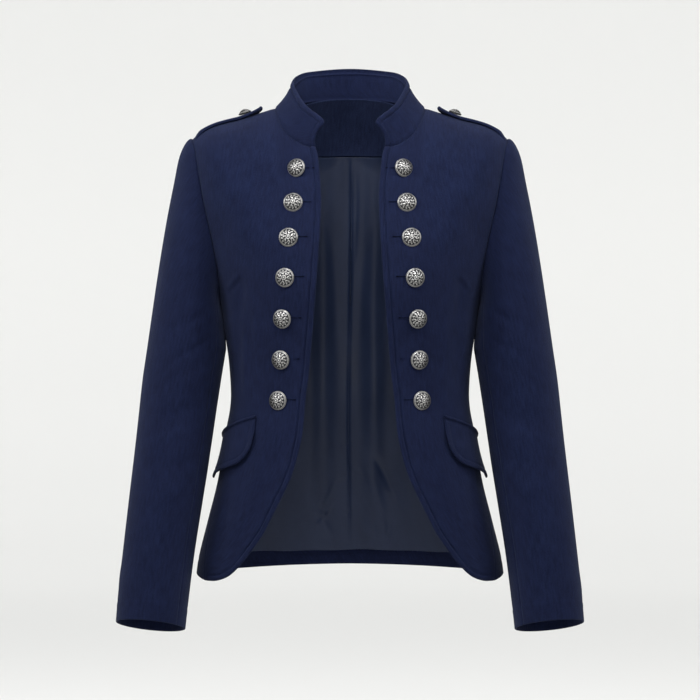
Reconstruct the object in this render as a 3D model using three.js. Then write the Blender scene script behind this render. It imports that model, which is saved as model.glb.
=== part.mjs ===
// Stand collar blazer: a short fitted jacket with open cutaway fronts, a row of domed
// buttons on each front, slanted flap pockets, shoulder straps and two-piece sleeves,
// standing in its worn form with nobody in it.
// Millimetres, +Z up. The front faces -Y, and left is the wearer's left, at +X.
// The origin lies midway between the neck ends of the two shoulder seams.
import * as THREE from 'three';

// Cloth and gaps
const CLOTH = 2.0;
const COLLAR_CLOTH = 3.0;
const LINING_CLOTH = 1.0;
const SEAM_GAP = 0.3;
const ON_PANEL = 0.8;

// Body sections: half width, and depth in front of and behind the side line, by height
const SECTION_WIDTH_POWER = 2.4;
const BODY = [
  { z: -570, halfWidth: 186.5, front: 107, back: 112 },
  { z: -544, halfWidth: 182.8, front: 107, back: 110 },
  { z: -500, halfWidth: 171.9, front: 106, back: 105 },
  { z: -451, halfWidth: 159.7, front: 105, back: 98 },
  { z: -391, halfWidth: 150.0, front: 101, back: 87 },
  { z: -366, halfWidth: 145.2, front: 99, back: 83 },
  { z: -345, halfWidth: 143.8, front: 98, back: 81 },
  { z: -306, halfWidth: 146.3, front: 101, back: 82 },
  { z: -268, halfWidth: 151.9, front: 107, back: 85 },
  { z: -233, halfWidth: 157.0, front: 113, back: 89 },
  { z: -197, halfWidth: 166.5, front: 116, back: 92 },
  { z: -162, halfWidth: 177.5, front: 118, back: 94 },
  { z: -131, halfWidth: 186.0, front: 118, back: 95 },
  { z: -98, halfWidth: 192.6, front: 118, back: 95 },
  { z: -57, halfWidth: 200.5, front: 118, back: 95 },
  { z: -38, halfWidth: 205.4, front: 118, back: 95 },
  { z: 20, halfWidth: 212.0, front: 118, back: 95 },
];
const BUST = { x: 82, z: -200, rise: 7, width: 45, height: 50 };

// Shoulder line from the neck point to the sleeve, and how the form rounds over it
const NECK_POINT_X = 91;
const SHOULDER = [
  { x: 91, z: 0 },
  { x: 108, z: -5.5 },
  { x: 136, z: -14.5 },
  { x: 150, z: -18 },
  { x: 165, z: -22.5 },
  { x: 176, z: -27.5 },
  { x: 184, z: -32.5 },
  { x: 191, z: -38 },
];
const NECK_CREST = { slope: 0.32, front: -14, back: 31 };
const ROUNDING = {
  from: 60, to: 180,
  frontHeight: [230, 95], backHeight: [115, 90],
  inner: [1.5, 2], outer: [0.625, 0.5],
};

// Seams and edges
const UNDERARM_Z = -233;
const ARMHOLE_DEPTH = { front: [0.42, 0.4], back: [0.44, 0.4] };
const SIDE_SEAM = [
  { z: -565, turn: 1.15 },
  { z: -500, turn: 1.31 },
  { z: -400, turn: 1.53 },
  { z: -345, turn: 1.5708 },
  { z: -233, turn: 1.5708 },
];
const FRONT_EDGE = [
  { z: -508, x: 101 },
  { z: -478, x: 86 },
  { z: -448, x: 71.5 },
  { z: -426, x: 63.7 },
  { z: -392, x: 55.8 },
  { z: -352, x: 52.2 },
  { z: -324, x: 48.5 },
  { z: -277, x: 44.2 },
  { z: -228, x: 40.2 },
  { z: -168, x: 35.9 },
  { z: -112, x: 34 },
  { z: -63, x: 38 },
  { z: -52, x: 41 },
];
const FRONT_HEM = [
  { t: 0, x: 101, z: -508 },
  { t: 0.2, x: 114.6, z: -527.7 },
  { t: 0.45, x: 131.5, z: -549 },
  { t: 0.62, x: 144, z: -560.5 },
  { t: 0.8, x: 158, z: -565.8 },
  { t: 1, x: 170.6, z: -564 },
];
const BACK_HEM = [
  { turn: 1.15, z: -564 },
  { turn: 1.5708, z: -562 },
  { turn: 2.2, z: -566 },
  { turn: 3.1416, z: -563.3 },
];
const FRONT_NECK = [
  { t: 0, x: 41, z: -52 },
  { t: 0.2, x: 53, z: -50.5 },
  { t: 0.45, x: 69.7, z: -40.5 },
  { t: 0.65, x: 80.5, z: -27 },
  { t: 0.85, x: 87.5, z: -11 },
  { t: 1, x: 91, z: 0 },
];
const BACK_NECK_Z = 17;

// Stand collar: its top edge from the front tip round to the centre back
const COLLAR_TOP = [
  { t: 0, x: 30.3, y: -64, z: -25 },
  { t: 0.03, x: 31.5, y: -63.5, z: -20 },
  { t: 0.1, x: 38, y: -58.5, z: -13.5 },
  { t: 0.2, x: 46.5, y: -50, z: -6.5 },
  { t: 0.33, x: 56, y: -37, z: 4 },
  { t: 0.48, x: 67, y: -8, z: 25 },
  { t: 0.56, x: 69.5, y: 8, z: 34 },
  { t: 0.66, x: 66, y: 28, z: 43 },
  { t: 0.8, x: 50, y: 47, z: 50.5 },
  { t: 1, x: 0, y: 58, z: 56 },
];
const COLLAR_BOW = 2.5;
const COLLAR_END = { hollow: 5.2, share: 0.15 };

// Sleeve sections below the underarm: inner and outer side, centre and half depth
const SLEEVE = [
  { z: -294, inner: 151.3, outer: 245.6, centreY: -3, halfDepth: 58 },
  { z: -330, inner: 157, outer: 250.4, centreY: -7, halfDepth: 55 },
  { z: -378, inner: 163.6, outer: 254.9, centreY: -14, halfDepth: 52 },
  { z: -414, inner: 168.7, outer: 258.3, centreY: -20, halfDepth: 50.5 },
  { z: -474, inner: 178.0, outer: 264.5, centreY: -29, halfDepth: 48.5 },
  { z: -533, inner: 186.9, outer: 270.5, centreY: -37, halfDepth: 46.5 },
  { z: -592, inner: 194, outer: 276.2, centreY: -44.5, halfDepth: 44.5 },
  { z: -621.5, inner: 197, outer: 278.3, centreY: -48, halfDepth: 43.5 },
];
const CUFF_TILT = { y: -0.27, x: 0.09 };
const CAP_STEPS = [0.05, 0.13, 0.25, 0.4, 0.58, 0.78, 1];
const CAP = {
  out: 16, outMore: 20, outTop: 44, forward: 28, drop: 6, fall: 38, lift: 24, plumb: 0.7,
};
const ARM_CLEARANCE = 1.6;

// Pocket flap, the welt above it, and the shoulder strap, laid on the body
const FLAP = {
  turnFrom: 0.785, turnTo: 1.68, top: -375, slant: 27, height: 49,
  length: 95, innerCorner: 22, outerCorner: 4, cloth: 2.4, flare: 3.2, flareMore: 2.6,
};
const WELT = [
  { rise: 1.2, proud: 0.2 },
  { rise: 1.8, proud: 1.6 },
  { rise: 4.4, proud: 1.6 },
  { rise: 5.2, proud: 0 },
];
const STRAP = {
  neckEnd: 107, sleeveEnd: 188.6, neckHalf: 17, sleeveHalf: 21, cloth: 3, above: 1.7,
  lift: 3.5, liftShare: 0.35, roundEnd: 9, armholeCurve: 2.5,
};

// Buttons: centres on each front, then sizes
const BUTTONS = [
  { x: 63.1, z: -79.5 },
  { x: 66.6, z: -120.8 },
  { x: 71.6, z: -162.2 },
  { x: 75.5, z: -208.8 },
  { x: 78.6, z: -256.4 },
  { x: 80.8, z: -304.5 },
  { x: 84.1, z: -352.5 },
];
const FRONT_BUTTON = { radius: 11.25, dome: 4.6, rim: 1.6 };
const STRAP_BUTTON = { radius: 8, dome: 3.8, rim: 1.4, x: 127.5, above: 1.4 };

// Lining and facings, seen inside the back through the open front
const LINING = {
  top: -50, bottom: -545, depth: 4.8, gap: 1.0,
  pleat: 6, pleatX: -5, pleatWidth: 7, pleatEnd: -330,
};
const LINING_FOLDS = [
  { x: -88, width: 18, height: 3 },
  { x: -34, width: 13, height: 5 },
  { x: 30, width: 12, height: 5 },
  { x: 85, width: 18, height: 3 },
];
const LINING_SIDE = [
  { z: -570, turn: 1.75 },
  { z: -260, turn: 1.75 },
  { z: -215, turn: 2.0 },
  { z: -180, turn: 2.12 },
  { z: -50, turn: 2.12 },
];
const NECK_FACING = { halfWidth: 84, depth: [4.8, 3.4], cloth: 1.2, below: 1, drop: 9 };

// How finely the pieces are divided
const ROWS = { side: 11, armhole: 10, arm: 8, lining: 10 };
const COLUMNS = { neck: 6, shoulder: 6, backNeck: 5, lining: 28, facing: 16 };

const NAVY = { color: 0x262d4d, roughness: 0.85, metalness: 0 };
const SATIN = { color: 0x2a3040, roughness: 0.45, metalness: 0 };
const SILVER = { color: 0x8f9092, roughness: 0.4, metalness: 1 };

const blazer = new THREE.Group();
const vec = (x, y, z) => new THREE.Vector3(x, y, z);
const lerp = THREE.MathUtils.lerp;
const steps = (count) => Array.from({ length: count + 1 }, (_, i) => i / count);

// Reads one column of a table at any place in another, on a smooth line through its rows.
function reader(table, at, value) {
  const rows = [...table].sort((a, b) => a[at] - b[at]);
  const slopes = rows.map((_, i) => {
    const before = rows[Math.max(i - 1, 0)];
    const after = rows[Math.min(i + 1, rows.length - 1)];
    return (after[value] - before[value]) / (after[at] - before[at]);
  });
  return (place) => {
    const held = THREE.MathUtils.clamp(place, rows[0][at], rows[rows.length - 1][at]);
    let i = 0;
    while (i < rows.length - 2 && held > rows[i + 1][at]) i += 1;
    const span = rows[i + 1][at] - rows[i][at];
    const t = (held - rows[i][at]) / span;
    const bent = hermite(t);
    return bent.start * rows[i][value] + bent.leave * span * slopes[i]
      + bent.end * rows[i + 1][value] + bent.arrive * span * slopes[i + 1];
  };
}

// The four weights of a cubic that starts and ends at given points and slopes.
function hermite(t) {
  return {
    start: 2 * t ** 3 - 3 * t ** 2 + 1,
    leave: t ** 3 - 2 * t ** 2 + t,
    end: -2 * t ** 3 + 3 * t ** 2,
    arrive: t ** 3 - t ** 2,
  };
}

const halfWidthAt = reader(BODY, 'z', 'halfWidth');
const frontDepthAt = reader(BODY, 'z', 'front');
const backDepthAt = reader(BODY, 'z', 'back');
const shoulderAt = reader(SHOULDER, 'x', 'z');

// Height of the shoulder line at x. Between the neck points it rises into the neck.
function crest(x, inFront) {
  if (x >= NECK_POINT_X) return shoulderAt(x);
  const rise = inFront ? NECK_CREST.front : NECK_CREST.back;
  const straight = NECK_CREST.slope * (NECK_POINT_X - x);
  return straight + rise * (1 - (x / NECK_POINT_X) ** 2) ** 1.5;
}

// How the form rounds over the shoulder at x: its height and its two powers.
function roundingAt(x, inFront) {
  const toTip = THREE.MathUtils.smoothstep(x, ROUNDING.from, ROUNDING.to);
  const heights = inFront ? ROUNDING.frontHeight : ROUNDING.backHeight;
  return {
    height: lerp(heights[0], heights[1], toTip),
    inner: lerp(ROUNDING.inner[0], ROUNDING.inner[1], toTip),
    outer: lerp(ROUNDING.outer[0], ROUNDING.outer[1], toTip),
  };
}

// A point of the body form. The turn runs from 0 at the centre front, through a quarter
// turn at the wearer's left side, to a half turn at the centre back.
function body(turn, z) {
  const x = halfWidthAt(z) * Math.abs(Math.sin(turn)) ** (2 / SECTION_WIDTH_POWER);
  const inFront = turn < Math.PI / 2;
  const bust = BUST.rise * Math.exp(-(((x - BUST.x) / BUST.width) ** 2) / 2
    - (((z - BUST.z) / BUST.height) ** 2) / 2);
  const depth = inFront ? frontDepthAt(z) + bust : backDepthAt(z);
  const round = roundingAt(x, inFront);
  const below = THREE.MathUtils.clamp((crest(x, inFront) - z) / round.height, 0, 1);
  const over = (1 - (1 - below) ** round.inner) ** round.outer;
  return vec(x * Math.sign(Math.sin(turn)), -depth * Math.cos(turn) * over, z);
}

// The turn at which the body form has a given x.
function turnAt(x, z, inFront = true) {
  const turn = Math.asin(Math.min(x / halfWidthAt(z), 1) ** (SECTION_WIDTH_POWER / 2));
  return inFront ? turn : Math.PI - turn;
}

// The direction straight out of the body form.
function outOfBody(turn, z) {
  const around = body(turn + 0.01, z).sub(body(turn - 0.01, z));
  const up = body(turn, z + 1).sub(body(turn, z - 1));
  return around.cross(up).normalize();
}

// A point on the body form moved straight out, or in where the distance is negative.
function offBody(turn, z, distance) {
  return body(turn, z).addScaledVector(outOfBody(turn, z), distance);
}

// Fills four edges, each a list of [turn, z], into a grid of columns. Left and right run
// upwards, bottom and top run from left to right.
function fill(left, right, bottom, top) {
  const columns = bottom.length - 1;
  const rows = left.length - 1;
  return bottom.map((_, i) => left.map((__, j) => {
    const u = i / columns;
    const v = j / rows;
    return [0, 1].map((k) => (1 - v) * bottom[i][k] + v * top[i][k]
      + (1 - u) * left[j][k] + u * right[j][k]
      - (1 - u) * ((1 - v) * bottom[0][k] + v * top[0][k])
      - u * ((1 - v) * bottom[columns][k] + v * top[columns][k]));
  }));
}

const onBody = (grid) => grid.map((column) => column.map(([turn, z]) => body(turn, z)));
const flipped = (grid) => grid.map((column) => column.map((p) => vec(-p.x, p.y, p.z))).reverse();

// Normal of a grid of points at one of its points. Columns run to the right and rows
// run upwards, seen from outside.
function gridNormal(grid, i, j) {
  const last = grid.length - 1;
  const top = grid[0].length - 1;
  const across = grid[Math.min(i + 1, last)][j].clone().sub(grid[Math.max(i - 1, 0)][j]);
  const upward = grid[i][Math.min(j + 1, top)].clone().sub(grid[i][Math.max(j - 1, 0)]);
  return across.cross(upward).normalize();
}

// Seams: each point where pieces meet remembers the way out of every group of pieces
// that meets there, so both walls end in one shared plane.
const seams = [];
const SAME_POINT = 0.01;
const seamAt = (point) => seams.find((seam) => seam.point.distanceTo(point) < SAME_POINT);

function noteSeams(piece) {
  const { grid, group } = piece;
  grid.forEach((column, i) => column.forEach((point, j) => {
    const onEdge = i === 0 || j === 0 || i === grid.length - 1 || j === column.length - 1;
    if (!onEdge) return;
    if (!seamAt(point)) seams.push({ point, met: {} });
    const { met } = seamAt(point);
    met[group] = (met[group] ?? vec(0, 0, 0)).add(gridNormal(grid, i, j));
  }));
}

// The shared way out of the cloth at a seam point.
function seamNormal(point) {
  const met = Object.values(seamAt(point).met);
  return met.reduce((sum, normal) => sum.add(normal.clone().normalize()), vec(0, 0, 0)).normalize();
}

// How far a point on the seam edges of a piece is drawn back, half a gap for each seam.
function drawBack(piece, i, j, outward) {
  const { grid, sewn } = piece;
  const last = grid.length - 1;
  const top = grid[0].length - 1;
  const shift = vec(0, 0, 0);
  const edges = [
    { on: sewn.left && i === 0, along: [0, 1], inside: [1, 0] },
    { on: sewn.right && i === last, along: [0, 1], inside: [-1, 0] },
    { on: sewn.bottom && j === 0, along: [1, 0], inside: [0, 1] },
    { on: sewn.top && j === top, along: [1, 0], inside: [0, -1] },
  ];
  for (const { on, along, inside } of edges) {
    if (on) {
      const ahead = grid[Math.min(i + along[0], last)][Math.min(j + along[1], top)];
      const behind = grid[Math.max(i - along[0], 0)][Math.max(j - along[1], 0)];
      const across = ahead.clone().sub(behind).cross(outward).normalize();
      const inward = grid[i + inside[0]][j + inside[1]].clone().sub(grid[i][j]);
      shift.addScaledVector(across, Math.sign(across.dot(inward)) * SEAM_GAP / 2);
    }
  }
  return shift;
}

// A closed wall of cloth: the grid is its outside, and its inside lies one cloth within.
// Faces on the wearer's right are split the other way, so both sides are mirror images.
function wallGeometry(piece) {
  const { grid, cloth, sewn } = piece;
  const columns = grid.length;
  const rows = grid[0].length;
  const outside = [];
  const inside = [];
  grid.forEach((column, i) => column.forEach((point, j) => {
    const onSeam = (sewn.left && i === 0) || (sewn.right && i === columns - 1)
      || (sewn.bottom && j === 0) || (sewn.top && j === rows - 1);
    const outward = onSeam ? seamNormal(point) : gridNormal(grid, i, j);
    const start = point.clone().add(drawBack(piece, i, j, outward));
    outside.push(start);
    inside.push(start.clone().addScaledVector(outward, -cloth));
  }));
  const corners = [...outside, ...inside];
  const inner = outside.length;
  const at = (i, j) => i * rows + j;
  const faces = [];
  let onRight = false;
  const quad = (a, b, c, d) => {
    if (onRight) faces.push(a, b, d, b, c, d);
    else faces.push(a, b, c, a, c, d);
  };
  const rightOf = (i) => grid[i][0].x < -SAME_POINT || grid[i][rows - 1].x < -SAME_POINT;
  for (let i = 0; i < columns - 1; i += 1) {
    onRight = rightOf(i) || rightOf(i + 1);
    for (let j = 0; j < rows - 1; j += 1) {
      quad(at(i, j), at(i + 1, j), at(i + 1, j + 1), at(i, j + 1));
      quad(inner + at(i, j), inner + at(i, j + 1), inner + at(i + 1, j + 1), inner + at(i + 1, j));
    }
    const top = rows - 1;
    quad(at(i, 0), inner + at(i, 0), inner + at(i + 1, 0), at(i + 1, 0));
    quad(at(i, top), at(i + 1, top), inner + at(i + 1, top), inner + at(i, top));
  }
  for (let j = 0; j < rows - 1; j += 1) {
    const end = columns - 1;
    onRight = rightOf(0);
    quad(at(0, j), at(0, j + 1), inner + at(0, j + 1), inner + at(0, j));
    onRight = rightOf(end);
    quad(at(end, j), inner + at(end, j), inner + at(end, j + 1), at(end, j + 1));
  }
  const geometry = new THREE.BufferGeometry();
  const places = corners.flatMap((p) => [p.x, p.y, p.z]);
  geometry.setAttribute('position', new THREE.Float32BufferAttribute(places, 3));
  geometry.setIndex(faces);
  geometry.computeVertexNormals();
  return geometry;
}

function addMesh(name, geometry, finish) {
  const mesh = new THREE.Mesh(geometry, new THREE.MeshStandardMaterial(finish));
  mesh.name = name;
  blazer.add(mesh);
  return mesh;
}

const pieces = [];
const FREE = { left: false, right: false, bottom: false, top: false };

function addPiece(name, group, grid, cloth, sewn = {}, finish = NAVY) {
  pieces.push({ name, group, grid, cloth, sewn: { ...FREE, ...sewn }, finish });
}

// The same piece on both sides of the wearer.
function addPair(name, group, grid, cloth, sewn = {}, finish = NAVY) {
  addPiece(`${name}_left`, group, grid, cloth, sewn, finish);
  const swapped = { ...sewn, left: sewn.right, right: sewn.left };
  addPiece(`${name}_right`, group, flipped(grid), cloth, swapped, finish);
}

// Seam lines, as lists of [turn, z] on the wearer's left
const sideTurnAt = reader(SIDE_SEAM, 'z', 'turn');
const hemEndZ = FRONT_HEM[FRONT_HEM.length - 1].z;
const sideSeam = steps(ROWS.side).map((v) => {
  const z = lerp(hemEndZ, UNDERARM_Z, v);
  return [sideTurnAt(z), z];
});

const tip = SHOULDER[SHOULDER.length - 1];
const easeRound = (v) => (1 - Math.cos(Math.PI * v)) / 2;

// One half of the armhole, from the underarm up to the shoulder tip.
function armholeHalf(inFront) {
  const [mid, end] = inFront ? ARMHOLE_DEPTH.front : ARMHOLE_DEPTH.back;
  return steps(ROWS.armhole).map((v) => {
    const share = v < 0.5 ? mid * Math.sin(Math.PI * v) : lerp(mid, end, 2 * v - 1);
    const z = lerp(UNDERARM_Z, tip.z, easeRound(v));
    const turn = v === 1 ? turnAt(tip.x, tip.z) : Math.acos(share);
    return [inFront ? turn : Math.PI - turn, z];
  });
}
const armholeFront = armholeHalf(true);
const armholeBack = armholeHalf(false);

const shoulderSeam = (inFront) => steps(COLUMNS.shoulder).map((u) => {
  const x = lerp(NECK_POINT_X, tip.x, u);
  return [turnAt(x, shoulderAt(x), inFront), shoulderAt(x)];
});

const neckX = reader(FRONT_NECK, 't', 'x');
const neckZ = reader(FRONT_NECK, 't', 'z');
const frontNeck = steps(COLUMNS.neck).map((t) => [turnAt(neckX(t), neckZ(t)), neckZ(t)]);
const backNeck = steps(COLUMNS.backNeck).map((u) => {
  const x = NECK_POINT_X * u;
  const z = BACK_NECK_Z * (1 - u ** 2);
  return [turnAt(x, z, false), z];
});

// Fronts
const edgeX = reader(FRONT_EDGE, 'z', 'x');
const edgeLow = FRONT_EDGE[0].z;
const edgeMid = UNDERARM_Z - 4;
const edgeTop = FRONT_NECK[0].z;
const frontEdge = [
  ...steps(ROWS.side).map((v) => lerp(edgeLow, edgeMid, v)),
  ...steps(ROWS.armhole).slice(1).map((v) => lerp(edgeMid, edgeTop, easeRound(v))),
].map((z) => [turnAt(edgeX(z), z), z]);

const hemX = reader(FRONT_HEM, 't', 'x');
const hemZ = reader(FRONT_HEM, 't', 'z');
const frontColumns = COLUMNS.neck + COLUMNS.shoulder;
const frontHem = steps(frontColumns).map((t) => [turnAt(hemX(t), hemZ(t)), hemZ(t)]);
frontHem[frontColumns] = sideSeam[0];

const frontGrid = fill(
  frontEdge,
  [...sideSeam, ...armholeFront.slice(1)],
  frontHem,
  [...frontNeck, ...shoulderSeam(true).slice(1)],
);
addPair('front', 'body', onBody(frontGrid), CLOTH, { right: true, top: true });

// Back, drawn from the centre to the side and then mirrored
const backHemZ = reader(BACK_HEM, 'turn', 'z');
const backColumns = COLUMNS.backNeck + COLUMNS.shoulder;
const backHem = steps(backColumns).map((u) => {
  const turn = lerp(Math.PI, sideSeam[0][0], u);
  return [turn, backHemZ(turn)];
});
const backRows = [
  ...steps(ROWS.side).map((v) => lerp(backHem[0][1], UNDERARM_Z, v)),
  ...steps(ROWS.armhole).slice(1).map((v) => lerp(UNDERARM_Z, BACK_NECK_Z, easeRound(v))),
];
const backHalf = onBody(fill(
  backRows.map((z) => [Math.PI, z]),
  [...sideSeam, ...armholeBack.slice(1)],
  backHem,
  [...backNeck, ...shoulderSeam(false).slice(1)],
));
const backGrid = [...[...backHalf].reverse(), ...flipped(backHalf).reverse().slice(1)];
addPiece('back', 'body', backGrid, CLOTH, { left: true, right: true, top: true });

// Stand collar, from the left front end round the back to the right front end
const collarPart = (key) => reader(COLLAR_TOP, 't', key);
const collarX = collarPart('x');
const collarY = collarPart('y');
const collarZ = collarPart('z');
const neckLine = [...onBody([frontNeck])[0], ...onBody([backNeck])[0].reverse().slice(1)];
const collarHalf = neckLine.map((foot, i) => {
  const t = i / (neckLine.length - 1);
  const top = vec(collarX(t), collarY(t), collarZ(t));
  const away = vec(foot.x, foot.y, 0).normalize();
  const hollow = COLLAR_END.hollow * Math.max(1 - t / COLLAR_END.share, 0) ** 2;
  return [0, 0.3, 0.65, 1].map((v) => foot.clone().lerp(top, v)
    .addScaledVector(away, -COLLAR_BOW * Math.sin(Math.PI * v) * Math.sin(Math.PI * t))
    .add(vec(hollow * Math.sin(Math.PI * v), 0, 0)));
});
const collarGrid = [...collarHalf, ...flipped(collarHalf).slice(1)];
addPiece('collar', 'collar', collarGrid, COLLAR_CLOTH, { bottom: true });

// Sleeves: a tube of sections below the underarm, and a cap that runs into the armhole
const sleevePart = (key) => reader(SLEEVE, 'z', key);
const innerAt = sleevePart('inner');
const outerAt = sleevePart('outer');
const centreYAt = sleevePart('centreY');
const halfDepthAt = sleevePart('halfDepth');
const sleeveTop = SLEEVE[0].z;
const cuffZ = SLEEVE[SLEEVE.length - 1].z;

// A point of the sleeve tube. Its turn is 0 at the inner side and a quarter turn in front.
function tube(turn, z) {
  const centreX = (innerAt(z) + outerAt(z)) / 2;
  const x = -Math.cos(turn) * (outerAt(z) - innerAt(z)) / 2;
  const y = -Math.sin(turn) * halfDepthAt(z);
  const tilt = THREE.MathUtils.clamp((sleeveTop - z) / (sleeveTop - cuffZ), 0, 1);
  return vec(centreX + x, centreYAt(z) + y, z + tilt * (CUFF_TILT.y * y + CUFF_TILT.x * x));
}

// Keeps a sleeve point clear of the side of the body.
function clearOfBody(point) {
  if (point.z > UNDERARM_Z - 4) return point;
  const depth = point.y < 0 ? frontDepthAt(point.z) : backDepthAt(point.z);
  const share = 1 - Math.min(Math.abs(point.y) / depth, 1) ** 2;
  const side = halfWidthAt(point.z) * share ** (1 / SECTION_WIDTH_POWER);
  point.x = Math.max(point.x, side + ARM_CLEARANCE);
  return point;
}

const armholeLoop = [
  ...onBody([armholeFront])[0],
  ...onBody([armholeBack])[0].reverse().slice(1),
];
const sleeveGrid = armholeLoop.map((start, k) => {
  const turn = 2 * Math.PI * k / (armholeLoop.length - 1);
  const end = tube(turn, sleeveTop);
  const outerShare = Math.max(-Math.cos(turn), 0);
  const leave = vec(
    CAP.out + CAP.outMore * Math.sin(turn) ** 2 + CAP.outTop * outerShare ** 2,
    -CAP.forward * Math.sin(turn),
    -CAP.drop - CAP.fall * Math.sin(turn) ** 2 + CAP.lift * outerShare ** 2,
  );
  const arrive = tube(turn, sleeveTop - 5).sub(end).divideScalar(5)
    .multiplyScalar(CAP.plumb * (start.z - sleeveTop));
  const cap = CAP_STEPS.map((t) => {
    const bent = hermite(t);
    return clearOfBody(vec(0, 0, 0).addScaledVector(start, bent.start)
      .addScaledVector(leave, bent.leave)
      .addScaledVector(end, bent.end)
      .addScaledVector(arrive, bent.arrive));
  });
  const arm = steps(ROWS.arm).slice(1).map((v) => tube(turn, lerp(sleeveTop, cuffZ, v)));
  return [start, ...cap, ...arm].reverse();
});

const FRONT_ARM_SEAM = 2;
const BACK_ARM_SEAM = 17;
const upperGrid = sleeveGrid.slice(FRONT_ARM_SEAM, BACK_ARM_SEAM + 1);
const underGrid = [
  ...sleeveGrid.slice(BACK_ARM_SEAM),
  ...sleeveGrid.slice(1, FRONT_ARM_SEAM + 1),
];
const sewnSleeve = { left: true, right: true, top: true };
addPair('upper_sleeve', 'sleeve', upperGrid, CLOTH, sewnSleeve);
addPair('under_sleeve', 'sleeve', underGrid, CLOTH, sewnSleeve);

// Pocket flaps, each hanging from its welt, slanted down towards the side and round it
const flapTurn = (u) => lerp(FLAP.turnFrom, FLAP.turnTo, u);
const flapTop = (u) => FLAP.top - FLAP.slant * u;

// How much a rounded corner of the flap lifts its lower edge, at a distance from the end.
function cornerLift(distance, radius) {
  const over = Math.max(radius - distance, 0);
  return radius - Math.sqrt(Math.max(radius ** 2 - over ** 2, 0));
}
const flapGrid = [0, 0.03, 0.08, 0.15, 0.3, 0.45, 0.6, 0.75, 0.9, 0.96, 1].map((u) => {
  const lift = cornerLift(u * FLAP.length, FLAP.innerCorner)
    + cornerLift((1 - u) * FLAP.length, FLAP.outerCorner);
  const flare = FLAP.flare + FLAP.flareMore * u ** 2;
  const flap = [1, 0.75, 0.5, 0.25, 0].map((v) => offBody(
    flapTurn(u),
    flapTop(u) - v * (FLAP.height - lift),
    ON_PANEL + FLAP.cloth + flare * v ** 2,
  ));
  const welt = WELT.map(({ rise, proud }) => offBody(
    flapTurn(u),
    flapTop(u) + rise,
    ON_PANEL + FLAP.cloth + proud,
  ));
  return [...flap, ...welt];
});
addPair('pocket_flap', 'flap', flapGrid, FLAP.cloth);

// Top of the shoulder at x and y, found by turning the rounding formula inside out.
function shoulderTop(x, y) {
  const inFront = y < 0;
  let z = crest(x, inFront);
  for (let pass = 0; pass < 6; pass += 1) {
    const width = 1 - (x / halfWidthAt(z)) ** SECTION_WIDTH_POWER;
    const depth = (inFront ? frontDepthAt(z) : backDepthAt(z)) * Math.sqrt(width);
    const round = roundingAt(x, inFront);
    const over = Math.min(Math.abs(y) / depth, 1) ** (1 / round.outer);
    z = crest(x, inFront) - round.height * (1 - (1 - over) ** (1 / round.inner));
  }
  return z;
}

// Shoulder straps, sewn in at the sleeve and lifted a little at the buttoned neck end
const strapGrid = [0, 0.04, 0.12, 0.3, 0.48, 0.66, 0.82, 0.93, 1].map((u) =>
  [-1, -0.85, -0.5, 0, 0.5, 0.85, 1].map((v) => {
    const half = lerp(STRAP.neckHalf, STRAP.sleeveHalf, u);
    const roundEnd = STRAP.roundEnd * (1 - u) * v ** 4;
    const sleeveCurve = STRAP.armholeCurve * u * v ** 2;
    const x = lerp(STRAP.neckEnd + roundEnd, STRAP.sleeveEnd - sleeveCurve, u);
    const y = v * half;
    const lifted = STRAP.lift * Math.max(1 - u / STRAP.liftShare, 0) ** 2;
    return vec(x, y, shoulderTop(x, y) + STRAP.above + STRAP.cloth + lifted);
  }));
addPair('epaulette', 'strap', strapGrid, STRAP.cloth);

// Lining with its centre pleat and soft folds, and the neck facing of self cloth above it
function liningDepth(x, z) {
  const down = THREE.MathUtils.clamp((LINING.top - z) / (LINING.top - LINING.pleatEnd), 0, 1);
  const along = THREE.MathUtils.clamp((LINING.top - z) / (LINING.top - LINING.bottom), 0, 1);
  const soften = Math.sin(Math.PI * along) ** 0.6;
  const wave = (centre, width) => Math.exp(-(((x - centre) / width) ** 2));
  const pleat = LINING.pleat * (1 - down) * wave(LINING.pleatX, LINING.pleatWidth);
  const folds = LINING_FOLDS.map((fold) => fold.height * soften * wave(fold.x, fold.width));
  return folds.reduce((sum, fold) => sum + fold, LINING.depth + pleat);
}
const liningSideAt = reader(LINING_SIDE, 'z', 'turn');
const liningGrid = steps(COLUMNS.lining).map((u) => {
  const across = 1 - 2 * u;
  const side = Math.sign(across) || 1;
  return steps(ROWS.lining).map((v) => {
    const z = lerp(LINING.bottom, LINING.top, v);
    const turn = lerp(Math.PI, liningSideAt(z), Math.abs(across) ** 1.4);
    const x = body(turn, z).x * side;
    const point = offBody(turn, z, -liningDepth(x, z));
    return vec(point.x * side, point.y, point.z);
  });
});
addPiece('back_lining', 'lining', liningGrid, LINING_CLOTH, {}, SATIN);

const neckFacingGrid = steps(COLUMNS.facing).map((u) => {
  const across = 1 - 2 * u;
  const share = Math.abs(across);
  const x = NECK_FACING.halfWidth * share;
  const top = BACK_NECK_Z * (1 - share ** 2) - NECK_FACING.below - NECK_FACING.drop * share ** 4;
  return steps(3).map((v) => {
    const z = lerp(LINING.top + LINING.gap, top, v);
    const depth = lerp(NECK_FACING.depth[0], NECK_FACING.depth[1], v);
    const point = offBody(turnAt(x, z, false), z, -depth);
    return vec(point.x * Math.sign(across), point.y, point.z);
  });
});
addPiece('back_neck_facing', 'facing', neckFacingGrid, NECK_FACING.cloth);

pieces.forEach(noteSeams);
for (const piece of pieces) addMesh(piece.name, wallGeometry(piece), piece.finish);

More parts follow.
